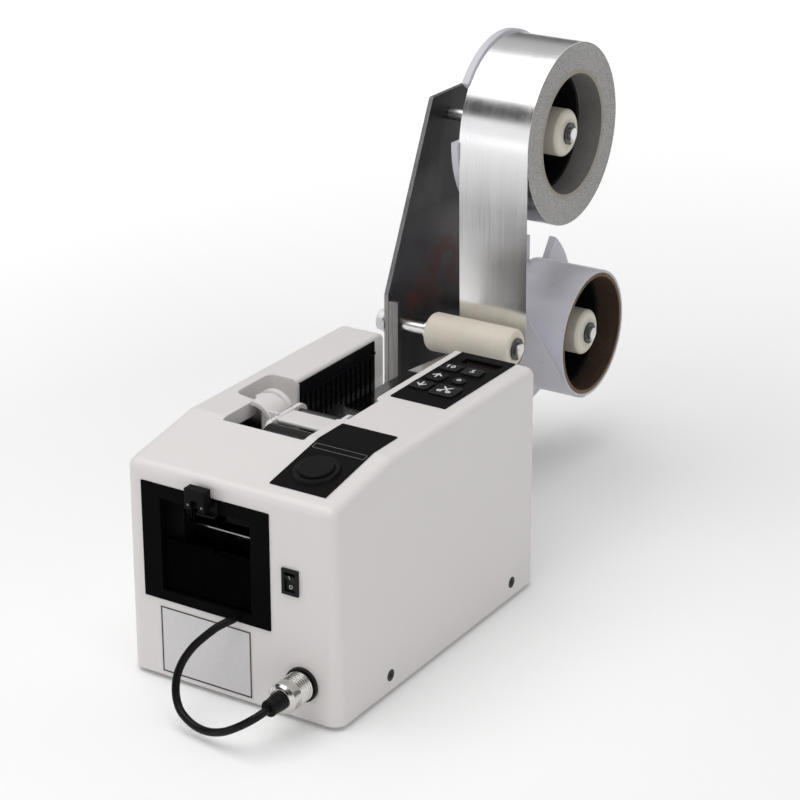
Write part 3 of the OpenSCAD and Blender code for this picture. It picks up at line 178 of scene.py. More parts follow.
def makeToneDrift(look):
    tree, given, result = startGroup("toneDrift", [
        ("Scale", "Float", 10.0), ("Base", "Color", (1, 1, 1, 1)), ("Shade", "Color", (0.8, 0.8, 0.8, 1))],
        [("Color", "Color")])
    broad = noise(tree, given["Vector"], given["Scale"], 4)
    fine = noise(tree, given["Vector"], times(tree, given["Scale"], look["finer"]), 2)
    patches = spread(tree, blend(tree, broad, fine, look["share"]), *look["band"])
    tree.links.new(mixColor(tree, patches, given["Base"], given["Shade"]), result["Color"])


markLook = {"finer": 14.0, "share": 0.75, "band": (0.35, 0.65)}


def makeHandMarks(look):
    tree, given, result = startGroup("handMarks", [
        ("Scale", "Float", 30.0), ("Low", "Float", 0.3), ("High", "Float", 0.4)], [("Roughness", "Float")])
    smear = noise(tree, given["Vector"], given["Scale"], 5, 0.65)
    speck = noise(tree, given["Vector"], times(tree, given["Scale"], look["finer"]), 2)
    both = blend(tree, smear, speck, look["share"])
    tree.links.new(spread(tree, both, *look["band"], given["Low"], given["High"]), result["Roughness"])


grainLook = {"finer": 2.3, "share": 0.7}


def makeFineGrain(look):
    tree, given, result = startGroup("fineGrain", [("Scale", "Float", 500.0)], [("Height", "Float")])
    wide = noise(tree, given["Vector"], given["Scale"], 2)
    pits = cells(tree, given["Vector"], times(tree, given["Scale"], look["finer"]))
    tree.links.new(blend(tree, wide, pits, look["share"]), result["Height"])


wearLook = {"turn": (0.995, 0.86), "patch": (0.35, 0.62, 0.25, 1)}


def makeEdgeWear(look):
    tree, given, result = startGroup("edgeWear", [("Radius", "Float", 0.0005), ("Scale", "Float", 200.0)],
                                     [("Mask", "Float"), ("Normal", "Vector")])
    rounded = addNode(tree, "ShaderNodeBevel", {"Radius": given["Radius"]}, samples=4).outputs[0]
    worn = spread(tree, vectorNode(tree, "DOT_PRODUCT", rounded, normalOf(tree), "Value"), *look["turn"])
    patch = spread(tree, noise(tree, given["Vector"], given["Scale"], 4), *look["patch"])
    tree.links.new(times(tree, worn, patch, True), result["Mask"])
    tree.links.new(rounded, result["Normal"])


dustLook = {"flecks": 900.0, "fleckShow": (0.52, 0.75), "film": 45.0, "filmShow": (0.3, 0.7, 0.15, 0.8),
            "filmShare": 0.5, "upward": (0.3, 1.0)}


def makeRestingDust(look):
    tree, given, result = startGroup("restingDust", [("Amount", "Float", 0.1)], [("Mask", "Float")])
    flecks = spread(tree, noise(tree, given["Vector"], look["flecks"], 3, 0.7), *look["fleckShow"])
    film = spread(tree, noise(tree, given["Vector"], look["film"], 4), *look["filmShow"])
    both = mathNode(tree, "MAXIMUM", flecks, times(tree, film, look["filmShare"]))
    settled = times(tree, spread(tree, axisOf(tree, normalOf(tree), "Z"), *look["upward"]), both)
    tree.links.new(times(tree, settled, given["Amount"], True), result["Mask"])


lineLook = {"coarser": 0.15, "share": 0.65}


def makeDrawnLines(look):
    tree, given, result = startGroup("drawnLines", [("Along", "Vector", (1.0, 0.02, 1.0)), ("Scale", "Float", 900.0)],
                                     [("Streak", "Float")])
    pulled = vectorNode(tree, "MULTIPLY", given["Vector"], given["Along"])
    thin = noise(tree, pulled, given["Scale"], 5, 0.7)
    wide = noise(tree, pulled, times(tree, given["Scale"], look["coarser"]), 3)
    tree.links.new(blend(tree, thin, wide, look["share"]), result["Streak"])


ringLook = {"flatten": (0, 1, 1)}


def makeTurnedRings(look):
    tree, given, result = startGroup("turnedRings", [("Centre", "Vector", (0, 0, 0)), ("Pitch", "Float", 0.0004)],
                                     [("Ring", "Float")])
    away = vectorNode(tree, "SUBTRACT", given["Vector"], given["Centre"])
    flat = vectorNode(tree, "MULTIPLY", away, look["flatten"])
    steps = mathNode(tree, "DIVIDE", vectorNode(tree, "LENGTH", flat, output="Value"), given["Pitch"])
    layer = addNode(tree, "ShaderNodeTexNoise", {"W": steps, "Scale": 1.0, "Detail": 3.0}, noise_dimensions="1D")
    tree.links.new(layer.outputs[0], result["Ring"])


for makeEffect, look in ((makeToneDrift, toneLook), (makeHandMarks, markLook), (makeFineGrain, grainLook),
                         (makeEdgeWear, wearLook), (makeRestingDust, dustLook), (makeDrawnLines, lineLook),
                         (makeTurnedRings, ringLook)):
    makeEffect(look)
print("effects:", len(groups), "groups")


def toneDrift(tree, place, scale, base, shade):
    return useGroup(tree, "toneDrift", Vector=place, Scale=scale, Base=rgba(base), Shade=rgba(shade))["Color"]


def handMarks(tree, place, look):
    low, high = look["rough"]
    return useGroup(tree, "handMarks", Vector=place, Scale=look["marks"], Low=low, High=high)["Roughness"]


def edgeWear(tree, place, radius, scale):
    return useGroup(tree, "edgeWear", Vector=place, Radius=radius, Scale=scale)


def drawnLines(tree, place, along, scale):
    return useGroup(tree, "drawnLines", Vector=place, Along=along, Scale=scale)["Streak"]


def dusted(tree, place, color, amount, dust):
    return mixColor(tree, useGroup(tree, "restingDust", Vector=place, Amount=amount)["Mask"], color, dust)


def bump(tree, height, depth, normal=None):
    node = addNode(tree, "ShaderNodeBump", {"Height": height, "Distance": depth, "Strength": 1.0})
    if normal is not None:
        tree.links.new(normal, node.inputs["Normal"])
    return node.outputs[0]


# finishes
finishes = {}
extraSockets = {"spec": "Specular IOR Level", "metal": "Metallic", "skin": "Subsurface Weight",
                "skinDepth": "Subsurface Scale", "coat": "Coat Weight", "coatRough": "Coat Roughness",
                "normal": "Normal", "glow": "Emission Color", "glowStrength": "Emission Strength"}


def startFinish(name):
    material = bpy.data.materials.new(name)
    material.use_nodes = True
    tree = material.node_tree
    tree.nodes.clear()
    shader = addNode(tree, "ShaderNodeBsdfPrincipled")
    addNode(tree, "ShaderNodeOutputMaterial", {"Surface": shader.outputs[0]})
    finishes[name] = material
    return tree, shader, addNode(tree, "ShaderNodeTexCoord").outputs["Object"]


def dress(tree, shader, color, rough, **extra):
    sockets = {"Base Color": color, "Roughness": rough}
    sockets.update({extraSockets[key]: value for key, value in extra.items()})
    for name, value in sockets.items():
        setSocket(tree, shader.inputs[name], value)


# drifting colour with worn edges and dust on top, and the normal that rounds the edges
def wornSkin(tree, place, look):
    color = toneDrift(tree, place, look["drift"], look["base"], look["shade"])
    wear = edgeWear(tree, place, look["edge"], look["patches"])
    color = mixColor(tree, times(tree, wear["Mask"], look["show"]), color, look["tint"])
    return dusted(tree, place, color, look["dust"], look["dustColor"]), wear["Normal"]


# moulded plastic and rubber: two colours and their drift, marks, grain, worn edges, dust and shine
mouldedLooks = table("base shade drift rough marks grain depth edge tint show dust shine", {
    "housing_white": ((0.815, 0.788, 0.776), (0.80, 0.771, 0.758), 6, (0.3, 0.36), 30, 420, 3e-6, 0.0007,
                      (0.86, 0.85, 0.845), 0.3, 0.02, 0.45),
    "foot_rubber": ((0.010, 0.010, 0.011), (0.018, 0.017, 0.016), 120, (0.7, 0.9), 200, 1600, 3e-5, 0.0004,
                    (0.05, 0.048, 0.045), 0.5, 0.1, 0.2),
    # liner_black: its lighter worn edges also give the thin bright line along the top ledge: partly wear, partly
    # painted highlight
    "liner_black": ((0.002, 0.002, 0.0028), (0.004, 0.004, 0.0056), 40, (0.2, 0.32), 80, 1200, 6e-6, 0.0003,
                    (0.02, 0.02, 0.025), 0.5, 0.001, 0.035),
    "bezel_black": ((0.0025, 0.0025, 0.003), (0.004, 0.004, 0.0046), 30, (0.42, 0.55), 60, 1500, 1e-5, 0.0004,
                    (0.02, 0.02, 0.022), 0.4, 0.001, 0.015),
    "exit_gloss": ((0.0006, 0.0006, 0.0008), (0.001, 0.001, 0.0013), 25, (0.1, 0.22), 40, 240, 3e-6, 0.0004,
                   (0.012, 0.012, 0.014), 0.5, 0.0005, 0.008),
    "sensor_black": (0.003, 0.006, 90, (0.4, 0.55), 90, 2200, 1.5e-5, 0.0004, 0.03, 0.4, 0.004, 0.07),
    "switch_black": ((0.004, 0.004, 0.0045), (0.007, 0.007, 0.0075), 60, (0.26, 0.4), 70, 1800, 8e-6, 0.0005,
                     (0.05, 0.05, 0.055), 0.45, 0.004, 0.1),
    "rocker_black": (0.005, 0.008, 90, (0.3, 0.44), 120, 2400, 8e-6, 0.0004, 0.03, 0.4, 0.008, 0.14),
    "socket_black": (0.005, (0.009, 0.0085, 0.0085), 80, (0.35, 0.5), 120, 1900, 1.2e-5, 0.0005, 0.05, 0.45, 0.02,
                     0.25),
    "cable_black": ((0.004, 0.004, 0.0045), (0.007, 0.007, 0.0075), 70, (0.25, 0.38), 90, 1700, 8e-6, 0.0003,
                    0.03, 0.2, 0.004, 0.14),
    "boot_rubber": (0.005, (0.009, 0.009, 0.0088), 110, (0.4, 0.55), 120, 1900, 1.5e-5, 0.0005, 0.04, 0.5, 0.006, 0.12),
    "flange_white": ((0.66, 0.655, 0.71), (0.63, 0.625, 0.685), 20, (0.3, 0.42), 35, 700, 6e-6, 0.0007,
                     (0.8, 0.8, 0.84), 0.4, 0.03, 0.4),
    "drum_black": ((0.004, 0.004, 0.0045), (0.008, 0.008, 0.0085), 35, (0.35, 0.5), 50, 1300, 1e-5, 0.0005,
                   0.07, 0.5, 0.02, 0.2),
    "lever_white": ((0.80, 0.775, 0.765), (0.78, 0.75, 0.738), 40, (0.3, 0.4), 60, 900, 5e-6, 0.0006,
                    (0.86, 0.85, 0.84), 0.4, 0.02, 0.4),
    "roller_rubber": (0.007, (0.012, 0.0115, 0.0115), 60, (0.55, 0.72), 80, 1500, 2e-5, 0.0005, 0.05, 0.4, 0.008, 0.18),
    "roller_black": (0.005, (0.009, 0.0085, 0.0085), 60, (0.16, 0.26), 70, 1100, 1e-5, 0.0006, 0.06, 0.4, 0.004, 0.22),
    "carriage_black": ((0.004, 0.004, 0.0045), (0.007, 0.007, 0.0075), 50, (0.38, 0.52), 70, 1700, 1.5e-5, 0.0005,
                       (0.05, 0.05, 0.053), 0.45, 0.01, 0.15),
    "button_black": ((0.003, 0.003, 0.0034), (0.005, 0.005, 0.0055), 50, (0.3, 0.44), 70, 2000, 8e-6, 0.0006,
                     (0.05, 0.05, 0.055), 0.45, 0.005, 0.1),
    "key_black": ((0.004, 0.004, 0.0045), (0.007, 0.007, 0.0075), 60, (0.22, 0.36), 90, 2000, 6e-6, 0.0005,
                  (0.07, 0.07, 0.075), 0.5, 0.015, 0.3),
    "base_black": ((0.016, 0.016, 0.017), (0.026, 0.0255, 0.025), 25, (0.45, 0.62), 40, 1300, 2e-5, 0.0004,
                   0.25, 0.4, 0.06, 0.3),
    "screw_black": (0.008, (0.016, 0.015, 0.014), 200, (0.34, 0.5), 200, 2600, 1.2e-5, 0.0003, 0.15, 0.6, 0.03, 0.3),
}, patches=260.0, dustColor=(0.55, 0.53, 0.5))


def mouldedFinish(name, look):
    tree, shader, place = startFinish(name)
    color, rounded = wornSkin(tree, place, look)
    grain = useGroup(tree, "fineGrain", Vector=place, Scale=look["grain"])["Height"]
    dress(tree, shader, color, handMarks(tree, place, look),
          normal=bump(tree, grain, look["depth"], rounded), spec=look["shine"])


# metals: colour, stains, marks, roughness, direction, scale and depth of the drawn lines, bright worn edges
metalLooks = table("base stain marks rough along lines depth edge bright", {
    # blade_steel: its wide bright worn edge also gives the streak of light along the blade: partly wear, partly painted
    # highlight
    "blade_steel": ((0.52, 0.52, 0.53), (0.44, 0.44, 0.45), 14, (0.12, 0.18), (0.05, 1, 1), 900, 2e-6, 0.0009, 0.9),
    # frame_steel: near black so the side frames sink into the dark of the mouth: painted shade
    "frame_steel": ((0.020, 0.020, 0.022), (0.012, 0.012, 0.013), 40, (0.34, 0.48), (1, 0.04, 1), 900, 8e-6, 0.0003,
                    (0.09, 0.09, 0.095)),
    "bright_steel": ((0.74, 0.735, 0.73), (0.62, 0.61, 0.60), 120, (0.24, 0.36), (1, 0.08, 0.08), 1800, 4e-6, 0.0003,
                     0.8),
    "motor_zinc": ((0.5, 0.51, 0.52), (0.42, 0.43, 0.45), 60, (0.28, 0.42), (1, 0.1, 0.1), 900, 5e-6, 0.0004,
                   (0.66, 0.66, 0.67)),
    "bolt_zinc": (0.56, 0.4, 180, (0.2, 0.36), (0.1, 1, 1), 1500, 6e-6, 0.0004, 0.78),
    "clip_steel": ((0.04, 0.04, 0.042), (0.025, 0.025, 0.024), 150, (0.26, 0.4), (0.1, 1, 1), 1500, 5e-6, 0.0003,
                   (0.4, 0.4, 0.41)),
    "plug_nickel": ((0.68, 0.665, 0.64), (0.56, 0.54, 0.51), 120, (0.14, 0.26), (1, 0.06, 1), 1400, 4e-6, 0.0003,
                    (0.85, 0.84, 0.82)),
    "pinion_brass": ((0.62, 0.45, 0.18), (0.46, 0.32, 0.13), 140, (0.24, 0.38), (0.08, 1, 1), 1200, 6e-6, 0.0003,
                     (0.8, 0.63, 0.32)),
}, patches=300.0, lineShow=(0.4, 0.62, 0, 0.22), lineRough=(0.35, 0.65, -0.03, 0.05))


def metalFinish(name, look):
    tree, shader, place = startFinish(name)
    streak = drawnLines(tree, place, look["along"], look["lines"])
    color = toneDrift(tree, place, look["marks"], look["base"], look["stain"])
    color = mixColor(tree, spread(tree, streak, *look["lineShow"]), color, look["bright"])
    wear = edgeWear(tree, place, look["edge"], look["patches"])
    color = mixColor(tree, wear["Mask"], color, look["bright"])
    rough = mathNode(tree, "ADD", handMarks(tree, place, look), spread(tree, streak, *look["lineRough"]))
    dress(tree, shader, color, rough, normal=bump(tree, streak, look["depth"], wear["Normal"]), metal=1.0)


# stand plate: polished faces painted near black as painted reflection of the dark surroundings they mirror, cloudy
# smears, a lighter band at mid height that is painted reflection, rust spots on the inner face, brushed cut edges
plateLooks = {"plate_steel": {
    # the near-black face colour and the lighter band colour are painted reflection; the cloud colour is smears
    "face": (0.013, 0.0125, 0.0125), "cloud": (0.034, 0.034, 0.036), "clouds": 22.0, "cloudPull": (1, 1, 0.45),
    "cloudShow": (0.42, 0.68), "paintedSheen": (0.14, 0.14, 0.148), "paintedSheenTop": (0.182, 0.152, 0, 0.7), "paintedSheenFoot": (0.112, 0.145),
    "rust": (0.115, 0.028, 0.019), "spots": [((-77, 236, 140), 0.034), ((-77, 203, 128), 0.018)], "ragged": 70.0,
    "rustShow": (0.36, 0.54), "rustDull": 0.95, "edge": (0.20, 0.195, 0.19), "brushed": (0.30, 0.295, 0.29),
    "along": (1, 1, 0.04), "lines": 700.0, "lineShow": (0.4, 0.62), "depth": 2e-6, "flat": (0.6, 0.9), "marks": 18.0,
    "rough": (0.26, 0.42), "cutRough": 0.2, "wear": 0.0004, "patches": 300.0, "shine": 0.15,
}}


def plateFinish(name, look):
    tree, shader, place = startFinish(name)
    clouds = noise(tree, vectorNode(tree, "MULTIPLY", place, look["cloudPull"]), look["clouds"], 4, 0.6)
    # painted reflection: the near-black face, with smears clouded over it
    color = mixColor(tree, spread(tree, clouds, *look["cloudShow"]), look["face"], look["cloud"])
    height = axisOf(tree, place, "Z")
    # painted reflection: a lighter band across the plate between two heights
    paintedSheenBand = times(tree, spread(tree, height, *look["paintedSheenTop"]), spread(tree, height, *look["paintedSheenFoot"]))
    color = mixColor(tree, paintedSheenBand, color, look["paintedSheen"])
    facing = axisOf(tree, normalOf(tree), "X")
    inner = spread(tree, facing, *look["flat"])
    metal = 1.0
    for centre, reach in look["spots"]:
        away = vectorNode(tree, "DISTANCE", place, fromHousing(*centre), "Value")
        rust = times(tree, spread(tree, away, 0, reach, 1, 0),
                     spread(tree, noise(tree, place, look["ragged"], 4), *look["rustShow"]))
        rust = times(tree, rust, inner)
        color = mixColor(tree, rust, color, look["rust"])
        metal = mathNode(tree, "SUBTRACT", metal, times(tree, rust, look["rustDull"]), True)
    streak = drawnLines(tree, place, look["along"], look["lines"])
    cut = spread(tree, mathNode(tree, "ABSOLUTE", facing), *look["flat"], 1, 0)
    brushed = mixColor(tree, spread(tree, streak, *look["lineShow"]), look["edge"], look["brushed"])
    rough = mathNode(tree, "ADD", handMarks(tree, place, look), times(tree, cut, look["cutRough"]))
    wear = edgeWear(tree, place, look["wear"], look["patches"])
    dress(tree, shader, mixColor(tree, cut, color, brushed), rough, metal=metal, spec=look["shine"],
          normal=bump(tree, streak, look["depth"], wear["Normal"]))


# turned nylon and gears: lines about their own axles
nylonLooks = table("base shade rough", {
    "hub_nylon": ((0.765, 0.715, 0.625), (0.71, 0.65, 0.545), (0.36, 0.5)),
    "gear_nylon": ((0.72, 0.67, 0.55), (0.66, 0.60, 0.48), (0.4, 0.55)),
}, drift=45.0, along=(1, 0.05, 0.05), lines=1300.0, depth=6e-6, edge=0.0008, patches=220.0, tint=(0.86, 0.82, 0.72),
    show=0.3, dust=0.06, dustColor=(0.5, 0.46, 0.4), marks=60.0, skin=0.12, skinDepth=0.003)


def nylonFinish(name, look):
    tree, shader, place = startFinish(name)
    color, rounded = wornSkin(tree, place, look)
    lines = drawnLines(tree, place, look["along"], look["lines"])
    dress(tree, shader, color, handMarks(tree, place, look),
          normal=bump(tree, lines, look["depth"], rounded), skin=look["skin"], skinDepth=look["skinDepth"])


# foil: drawn sheet with soft waves; the web's colour is painted reflection, bright at the top, dark half way down and
# lighter at the foot, and the web is clear and creased at the guide roller
foilLines = {"along": (1, 0.03, 0.03), "lines": 700.0, "lineShow": (0.4, 0.65, 0, 0.2)}
foilLooks = table("high low foot fade rough wave waveDepth lineDepth creased crease polish", {
    "foil": ((0.80, 0.805, 0.82), (0.80, 0.805, 0.82), (0.80, 0.805, 0.82), (0.1, 0.2), (0.17, 0.25), 28.0, 5e-5, 5e-6,
             (0.2, 0.1), 4e-5, 1.0),
    # webFoil: its high, low and foot colours are painted reflection
    "webFoil": ((0.93, 0.93, 0.94), (0.34, 0.34, 0.345), (0.74, 0.735, 0.72), (0.20, 0.262), (0.18, 0.26), 20.0, 3e-5,
                8e-6, (0.150, 0.118), 6e-4, 0.35),
    # a darker copy of the foil for the tape lead: painted shade of the dark well it lies in
    "leadFoil": ((0.42, 0.425, 0.44), (0.42, 0.425, 0.44), (0.42, 0.425, 0.44), (0.1, 0.2), (0.1, 0.16), 40.0, 6e-5,
                 3e-6, (0.2, 0.1), 4e-5, 1.0),
}, **foilLines, lineColor=(0.9, 0.9, 0.91), lineRough=(0.3, 0.7, -0.03, 0.05), footFade=(0.188, 0.143), clouds=18.0,
    cloudShow=(0.35, 0.65, 0, 0.12), cloudColor=(0.62, 0.62, 0.64), marks=30.0, creases=55.0)


def foilFinish(name, look):
    tree, shader, place = startFinish(name)
    streak = drawnLines(tree, place, look["along"], look["lines"])
    height = axisOf(tree, place, "Z")
    # painted reflection on the web: colour by height, bright at the top, dark half way down, lighter at the foot; the
    # other foils keep one colour
    color = mixColor(tree, spread(tree, height, *look["fade"]), look["low"], look["high"])
    color = mixColor(tree, spread(tree, height, *look["footFade"]), color, look["foot"])
    clouds = spread(tree, noise(tree, place, look["clouds"], 3), *look["cloudShow"])
    color = mixColor(tree, clouds, color, look["cloudColor"])
    color = mixColor(tree, spread(tree, streak, *look["lineShow"]), color, look["lineColor"])
    drawn = mathNode(tree, "ADD", handMarks(tree, place, look), spread(tree, streak, *look["lineRough"]))
    rough = times(tree, drawn, spread(tree, height, *look["creased"], 1, look["polish"]))
    waves = bump(tree, noise(tree, place, look["wave"], 2), look["waveDepth"])
    creases = times(tree, noise(tree, place, look["creases"], 1), spread(tree, height, *look["creased"]))
    waves = bump(tree, creases, look["crease"], waves)
    dress(tree, shader, color, rough, normal=bump(tree, streak, look["lineDepth"], waves), metal=1.0)


# wound rolls: foil or paper on the round, layer lines and sparkle on the sides
rollLooks = table("at face side sideLight metal rough pitch", {
    "roll_foil": (supplyAt, (0.86, 0.865, 0.875), (0.20, 0.197, 0.19), (0.70, 0.69, 0.67), 1.0, (0.07, 0.18), 0.00045),
    "liner_white": (takeupAt, (0.82, 0.815, 0.885), (0.60, 0.595, 0.64), (0.78, 0.775, 0.80), 0.0, (0.27, 0.38),
                    0.0003),
}, **foilLines, edge=1e-5, grains=1250.0, grainShow=(0.36, 0.66), layerShow=(0.3, 0.7, 0.35, 1),
    lineColor=(0.9, 0.9, 0.92), marks=25.0, sideRough=0.3, layerShare=0.6, sideRelief=0.95, roundRelief=0.02,
    relief=0.00012, sideMetal=0.25)


def rollFinish(name, look):
    tree, shader, place = startFinish(name)
    rings = useGroup(tree, "turnedRings", Vector=place, Centre=fromHousing(0, *look["at"]), Pitch=look["pitch"])["Ring"]
    across = axisOf(tree, place, "X")
    left, right = fromHousing(tapeLeft, 0, 0).x + look["edge"], fromHousing(tapeRight, 0, 0).x - look["edge"]
    onSide = mathNode(tree, "MAXIMUM", mathNode(tree, "LESS_THAN", across, left),
                      mathNode(tree, "GREATER_THAN", across, right))
    sparkle = spread(tree, noise(tree, place, look["grains"], 3, 0.75), *look["grainShow"])
    layers = times(tree, sparkle, spread(tree, rings, *look["layerShow"]))
    side = mixColor(tree, layers, look["side"], look["sideLight"])
    streak = drawnLines(tree, place, look["along"], look["lines"])
    face = mixColor(tree, spread(tree, streak, *look["lineShow"]), look["face"], look["lineColor"])
    rough = mathNode(tree, "ADD", handMarks(tree, place, look), times(tree, onSide, look["sideRough"]))
    depth = mathNode(tree, "ADD", times(tree, onSide, look["sideRelief"]), look["roundRelief"])
    height = times(tree, blend(tree, rings, sparkle, look["layerShare"]), depth)
    metal = spread(tree, onSide, 0, 1, look["metal"], look["sideMetal"]) if look["metal"] else 0.0
    dress(tree, shader, mixColor(tree, onSide, face, side), rough, metal=metal,
          normal=bump(tree, height, look["relief"]))


# card cores: fibres, a spiral seam and lighter cut ends
cardLooks = table("base shade cut", {
    "core_card": ((0.23, 0.222, 0.215), (0.18, 0.172, 0.165), (0.36, 0.33, 0.275)),
    "core_brown": ((0.062, 0.036, 0.02), (0.042, 0.024, 0.014), (0.17, 0.105, 0.06)),
}, along=(0.3, 1, 0.7), lines=650.0, drift=60.0, fibreShow=(0.5, 0.7, 0, 0.2), ends=(0.6, 0.8), seamSlant=0.35,
    seamPitch=0.017, seamShow=(0.0, 0.0006, 0.45, 0), marks=120.0, rough=(0.62, 0.82), depth=3e-5)


def cardFinish(name, look):
    tree, shader, place = startFinish(name)
    fibre = drawnLines(tree, place, look["along"], look["lines"])
    color = toneDrift(tree, place, look["drift"], look["base"], look["shade"])
    color = mixColor(tree, spread(tree, fibre, *look["fibreShow"]), color, look["cut"])
    facing = mathNode(tree, "ABSOLUTE", axisOf(tree, normalOf(tree), "X"))
    color = mixColor(tree, spread(tree, facing, *look["ends"]), color, look["cut"])
    slant = mathNode(tree, "ADD", axisOf(tree, place, "X"), times(tree, axisOf(tree, place, "Z"), look["seamSlant"]))
    seam = spread(tree, mathNode(tree, "PINGPONG", slant, look["seamPitch"]), *look["seamShow"])
    dress(tree, shader, mixColor(tree, seam, color, look["shade"]), handMarks(tree, place, look),
          normal=bump(tree, fibre, look["depth"]))


# printed film of the panels, with a very fine emboss
panelLooks = {"panel_black": {
    "base": (0.0035, 0.0033, 0.004), "shade": (0.0052, 0.005, 0.0058), "drift": 28.0, "edge": 0.0003, "patches": 260.0,
    "tint": 0.06, "show": 0.35, "dust": 0.006, "dustColor": (0.4, 0.39, 0.38), "marks": 45.0, "rough": (0.34, 0.46),
    "emboss": 2600.0, "depth": 1e-5, "shine": 0.05,
}}


def panelFinish(name, look):
    tree, shader, place = startFinish(name)
    color, rounded = wornSkin(tree, place, look)
    dress(tree, shader, color, handMarks(tree, place, look),
          normal=bump(tree, cells(tree, place, look["emboss"]), look["depth"], rounded), spec=look["shine"])


# dark glass of the display
glassLooks = {"display_glass": {
    "base": (0.012, 0.006, 0.006), "shade": (0.02, 0.008, 0.008), "drift": 60.0, "marks": 70.0, "rough": (0.05, 0.14),
    "wave": 120.0, "depth": 1e-5, "shine": 0.1, "coat": 0.08, "coatRough": 0.05,
}}


def glassFinish(name, look):
    tree, shader, place = startFinish(name)
    dress(tree, shader, toneDrift(tree, place, look["drift"], look["base"], look["shade"]),
          handMarks(tree, place, look),
          normal=bump(tree, noise(tree, place, look["wave"], 2), look["depth"]),
          spec=look["shine"], coat=look["coat"], coatRough=look["coatRough"])


# circuit board: green cells with lighter tracks and round pads
boardLooks = {"board_green": {
    "cells": {"Scale": 160.0, "Mortar Size": 0.012, "Color1": (0.012, 0.075, 0.03, 1),
              "Color2": (0.016, 0.09, 0.036, 1), "Mortar": (0.05, 0.16, 0.06, 1)},
    "pads": 230.0, "padShow": (0.12, 0.16, 1, 0), "padColor": (0.6, 0.5, 0.3), "marks": 90.0, "rough": (0.24, 0.4),
    "depth": 2e-5,
}}


def boardFinish(name, look):
    tree, shader, place = startFinish(name)
    tracks = addNode(tree, "ShaderNodeTexBrick", {"Vector": place, **look["cells"]}).outputs
    pads = spread(tree, cells(tree, place, look["pads"]), *look["padShow"])
    dress(tree, shader, mixColor(tree, pads, tracks["Color"], look["padColor"]),
          handMarks(tree, place, look), normal=bump(tree, tracks["Fac"], look["depth"]))


# printing ink, paper and small glass for the pieces made here
inkLooks = table("base shade rough", {
    "whiteInk": (0.74, 0.62, (0.4, 0.55)),
    "greyInk": (0.20, 0.14, (0.4, 0.55)),
    "darkInk": ((0.022, 0.02, 0.023), (0.045, 0.042, 0.044), (0.45, 0.6)),
    "stickerPaper": ((0.745, 0.73, 0.735), (0.715, 0.70, 0.705), (0.3, 0.42)),
    "deadSegment": ((0.035, 0.016, 0.015), (0.028, 0.012, 0.012), (0.2, 0.3)),
    "lensGlass": ((0.26, 0.27, 0.29), (0.2, 0.21, 0.23), (0.06, 0.14)),
}, drift=300.0, marks=80.0, grain=900.0, depth=8e-6)


def inkFinish(name, look):
    tree, shader, place = startFinish(name)
    grain = useGroup(tree, "fineGrain", Vector=place, Scale=look["grain"])["Height"]
    dress(tree, shader, toneDrift(tree, place, look["drift"], look["base"], look["shade"]),
          handMarks(tree, place, look), normal=bump(tree, grain, look["depth"]))


for makeFinish, looks in ((mouldedFinish, mouldedLooks), (metalFinish, metalLooks), (nylonFinish, nylonLooks),
                          (rollFinish, rollLooks), (cardFinish, cardLooks), (foilFinish, foilLooks),
                          (inkFinish, inkLooks), (plateFinish, plateLooks), (panelFinish, panelLooks),
                          (glassFinish, glassLooks), (boardFinish, boardLooks)):
    for name, look in looks.items():
        makeFinish(name, look)
print("finishes:", len(finishes))

# each solid in its slot's finish, but for a few that look different from others of the same slot
# the tape lead's darker foil is painted shade of the dark well
nodeFinish = {"panel_socket": "socket_black", "tape_lead": "leadFoil", "frame_rods": "clip_steel"}
for node, solid in cadNodes.items():
    solid.data.materials.clear()
    solid.data.materials.append(finishes[nodeFinish.get(node, slotOf[node])])

# rounded ends on the turned nylon pieces
roundedLook = {"nodes": ("supply_hub", "takeup_hub", "guide_roller"), "weld": 1e-6, "width": 0.0011, "segments": 4,
               "angle": 30}
for node in roundedLook["nodes"]:
    cadNodes[node].modifiers.new("weld", "WELD").merge_threshold = roundedLook["weld"]
    soften = cadNodes[node].modifiers.new("soften", "BEVEL")
    soften.width, soften.segments = roundedLook["width"], roundedLook["segments"]
    soften.limit_method, soften.angle_limit = "ANGLE", math.radians(roundedLook["angle"])
print("solids dressed")


# pieces
sharpAngle = 0.7


def addPiece(name, shape, finish, body, smooth=False):
    mesh = bpy.data.meshes.new(name)
    mesh.from_pydata(shape[0], [], shape[1])
    mesh.update()
    for face in mesh.polygons:
        face.use_smooth = smooth
    if smooth:
        mesh.set_sharp_from_angle(angle=sharpAngle)
    mesh.materials.append(finishes[finish])
    piece = bpy.data.objects.new(name, mesh)
    bpy.context.collection.objects.link(piece)
    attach(piece, body)
    return piece


def turnsOf(count):
    return [2 * math.pi * k / count for k in range(count)]


# closed skin over rings of equal count, with flat ends
def loft(rings):
    count = len(rings[0])
    verts = [point for ring in rings for point in ring]
    last = len(verts) - count
    faces = [(a + k, a + (k + 1) % count, a + count + (k + 1) % count, a + count + k)
             for a in range(0, last, count) for k in range(count)]
    return verts, faces + [tuple(reversed(range(count))), tuple(range(last, last + count))]


def headingAt(path, i):
    return (path[min(i + 1, len(path) - 1)] - path[max(i - 1, 0)]).normalized()


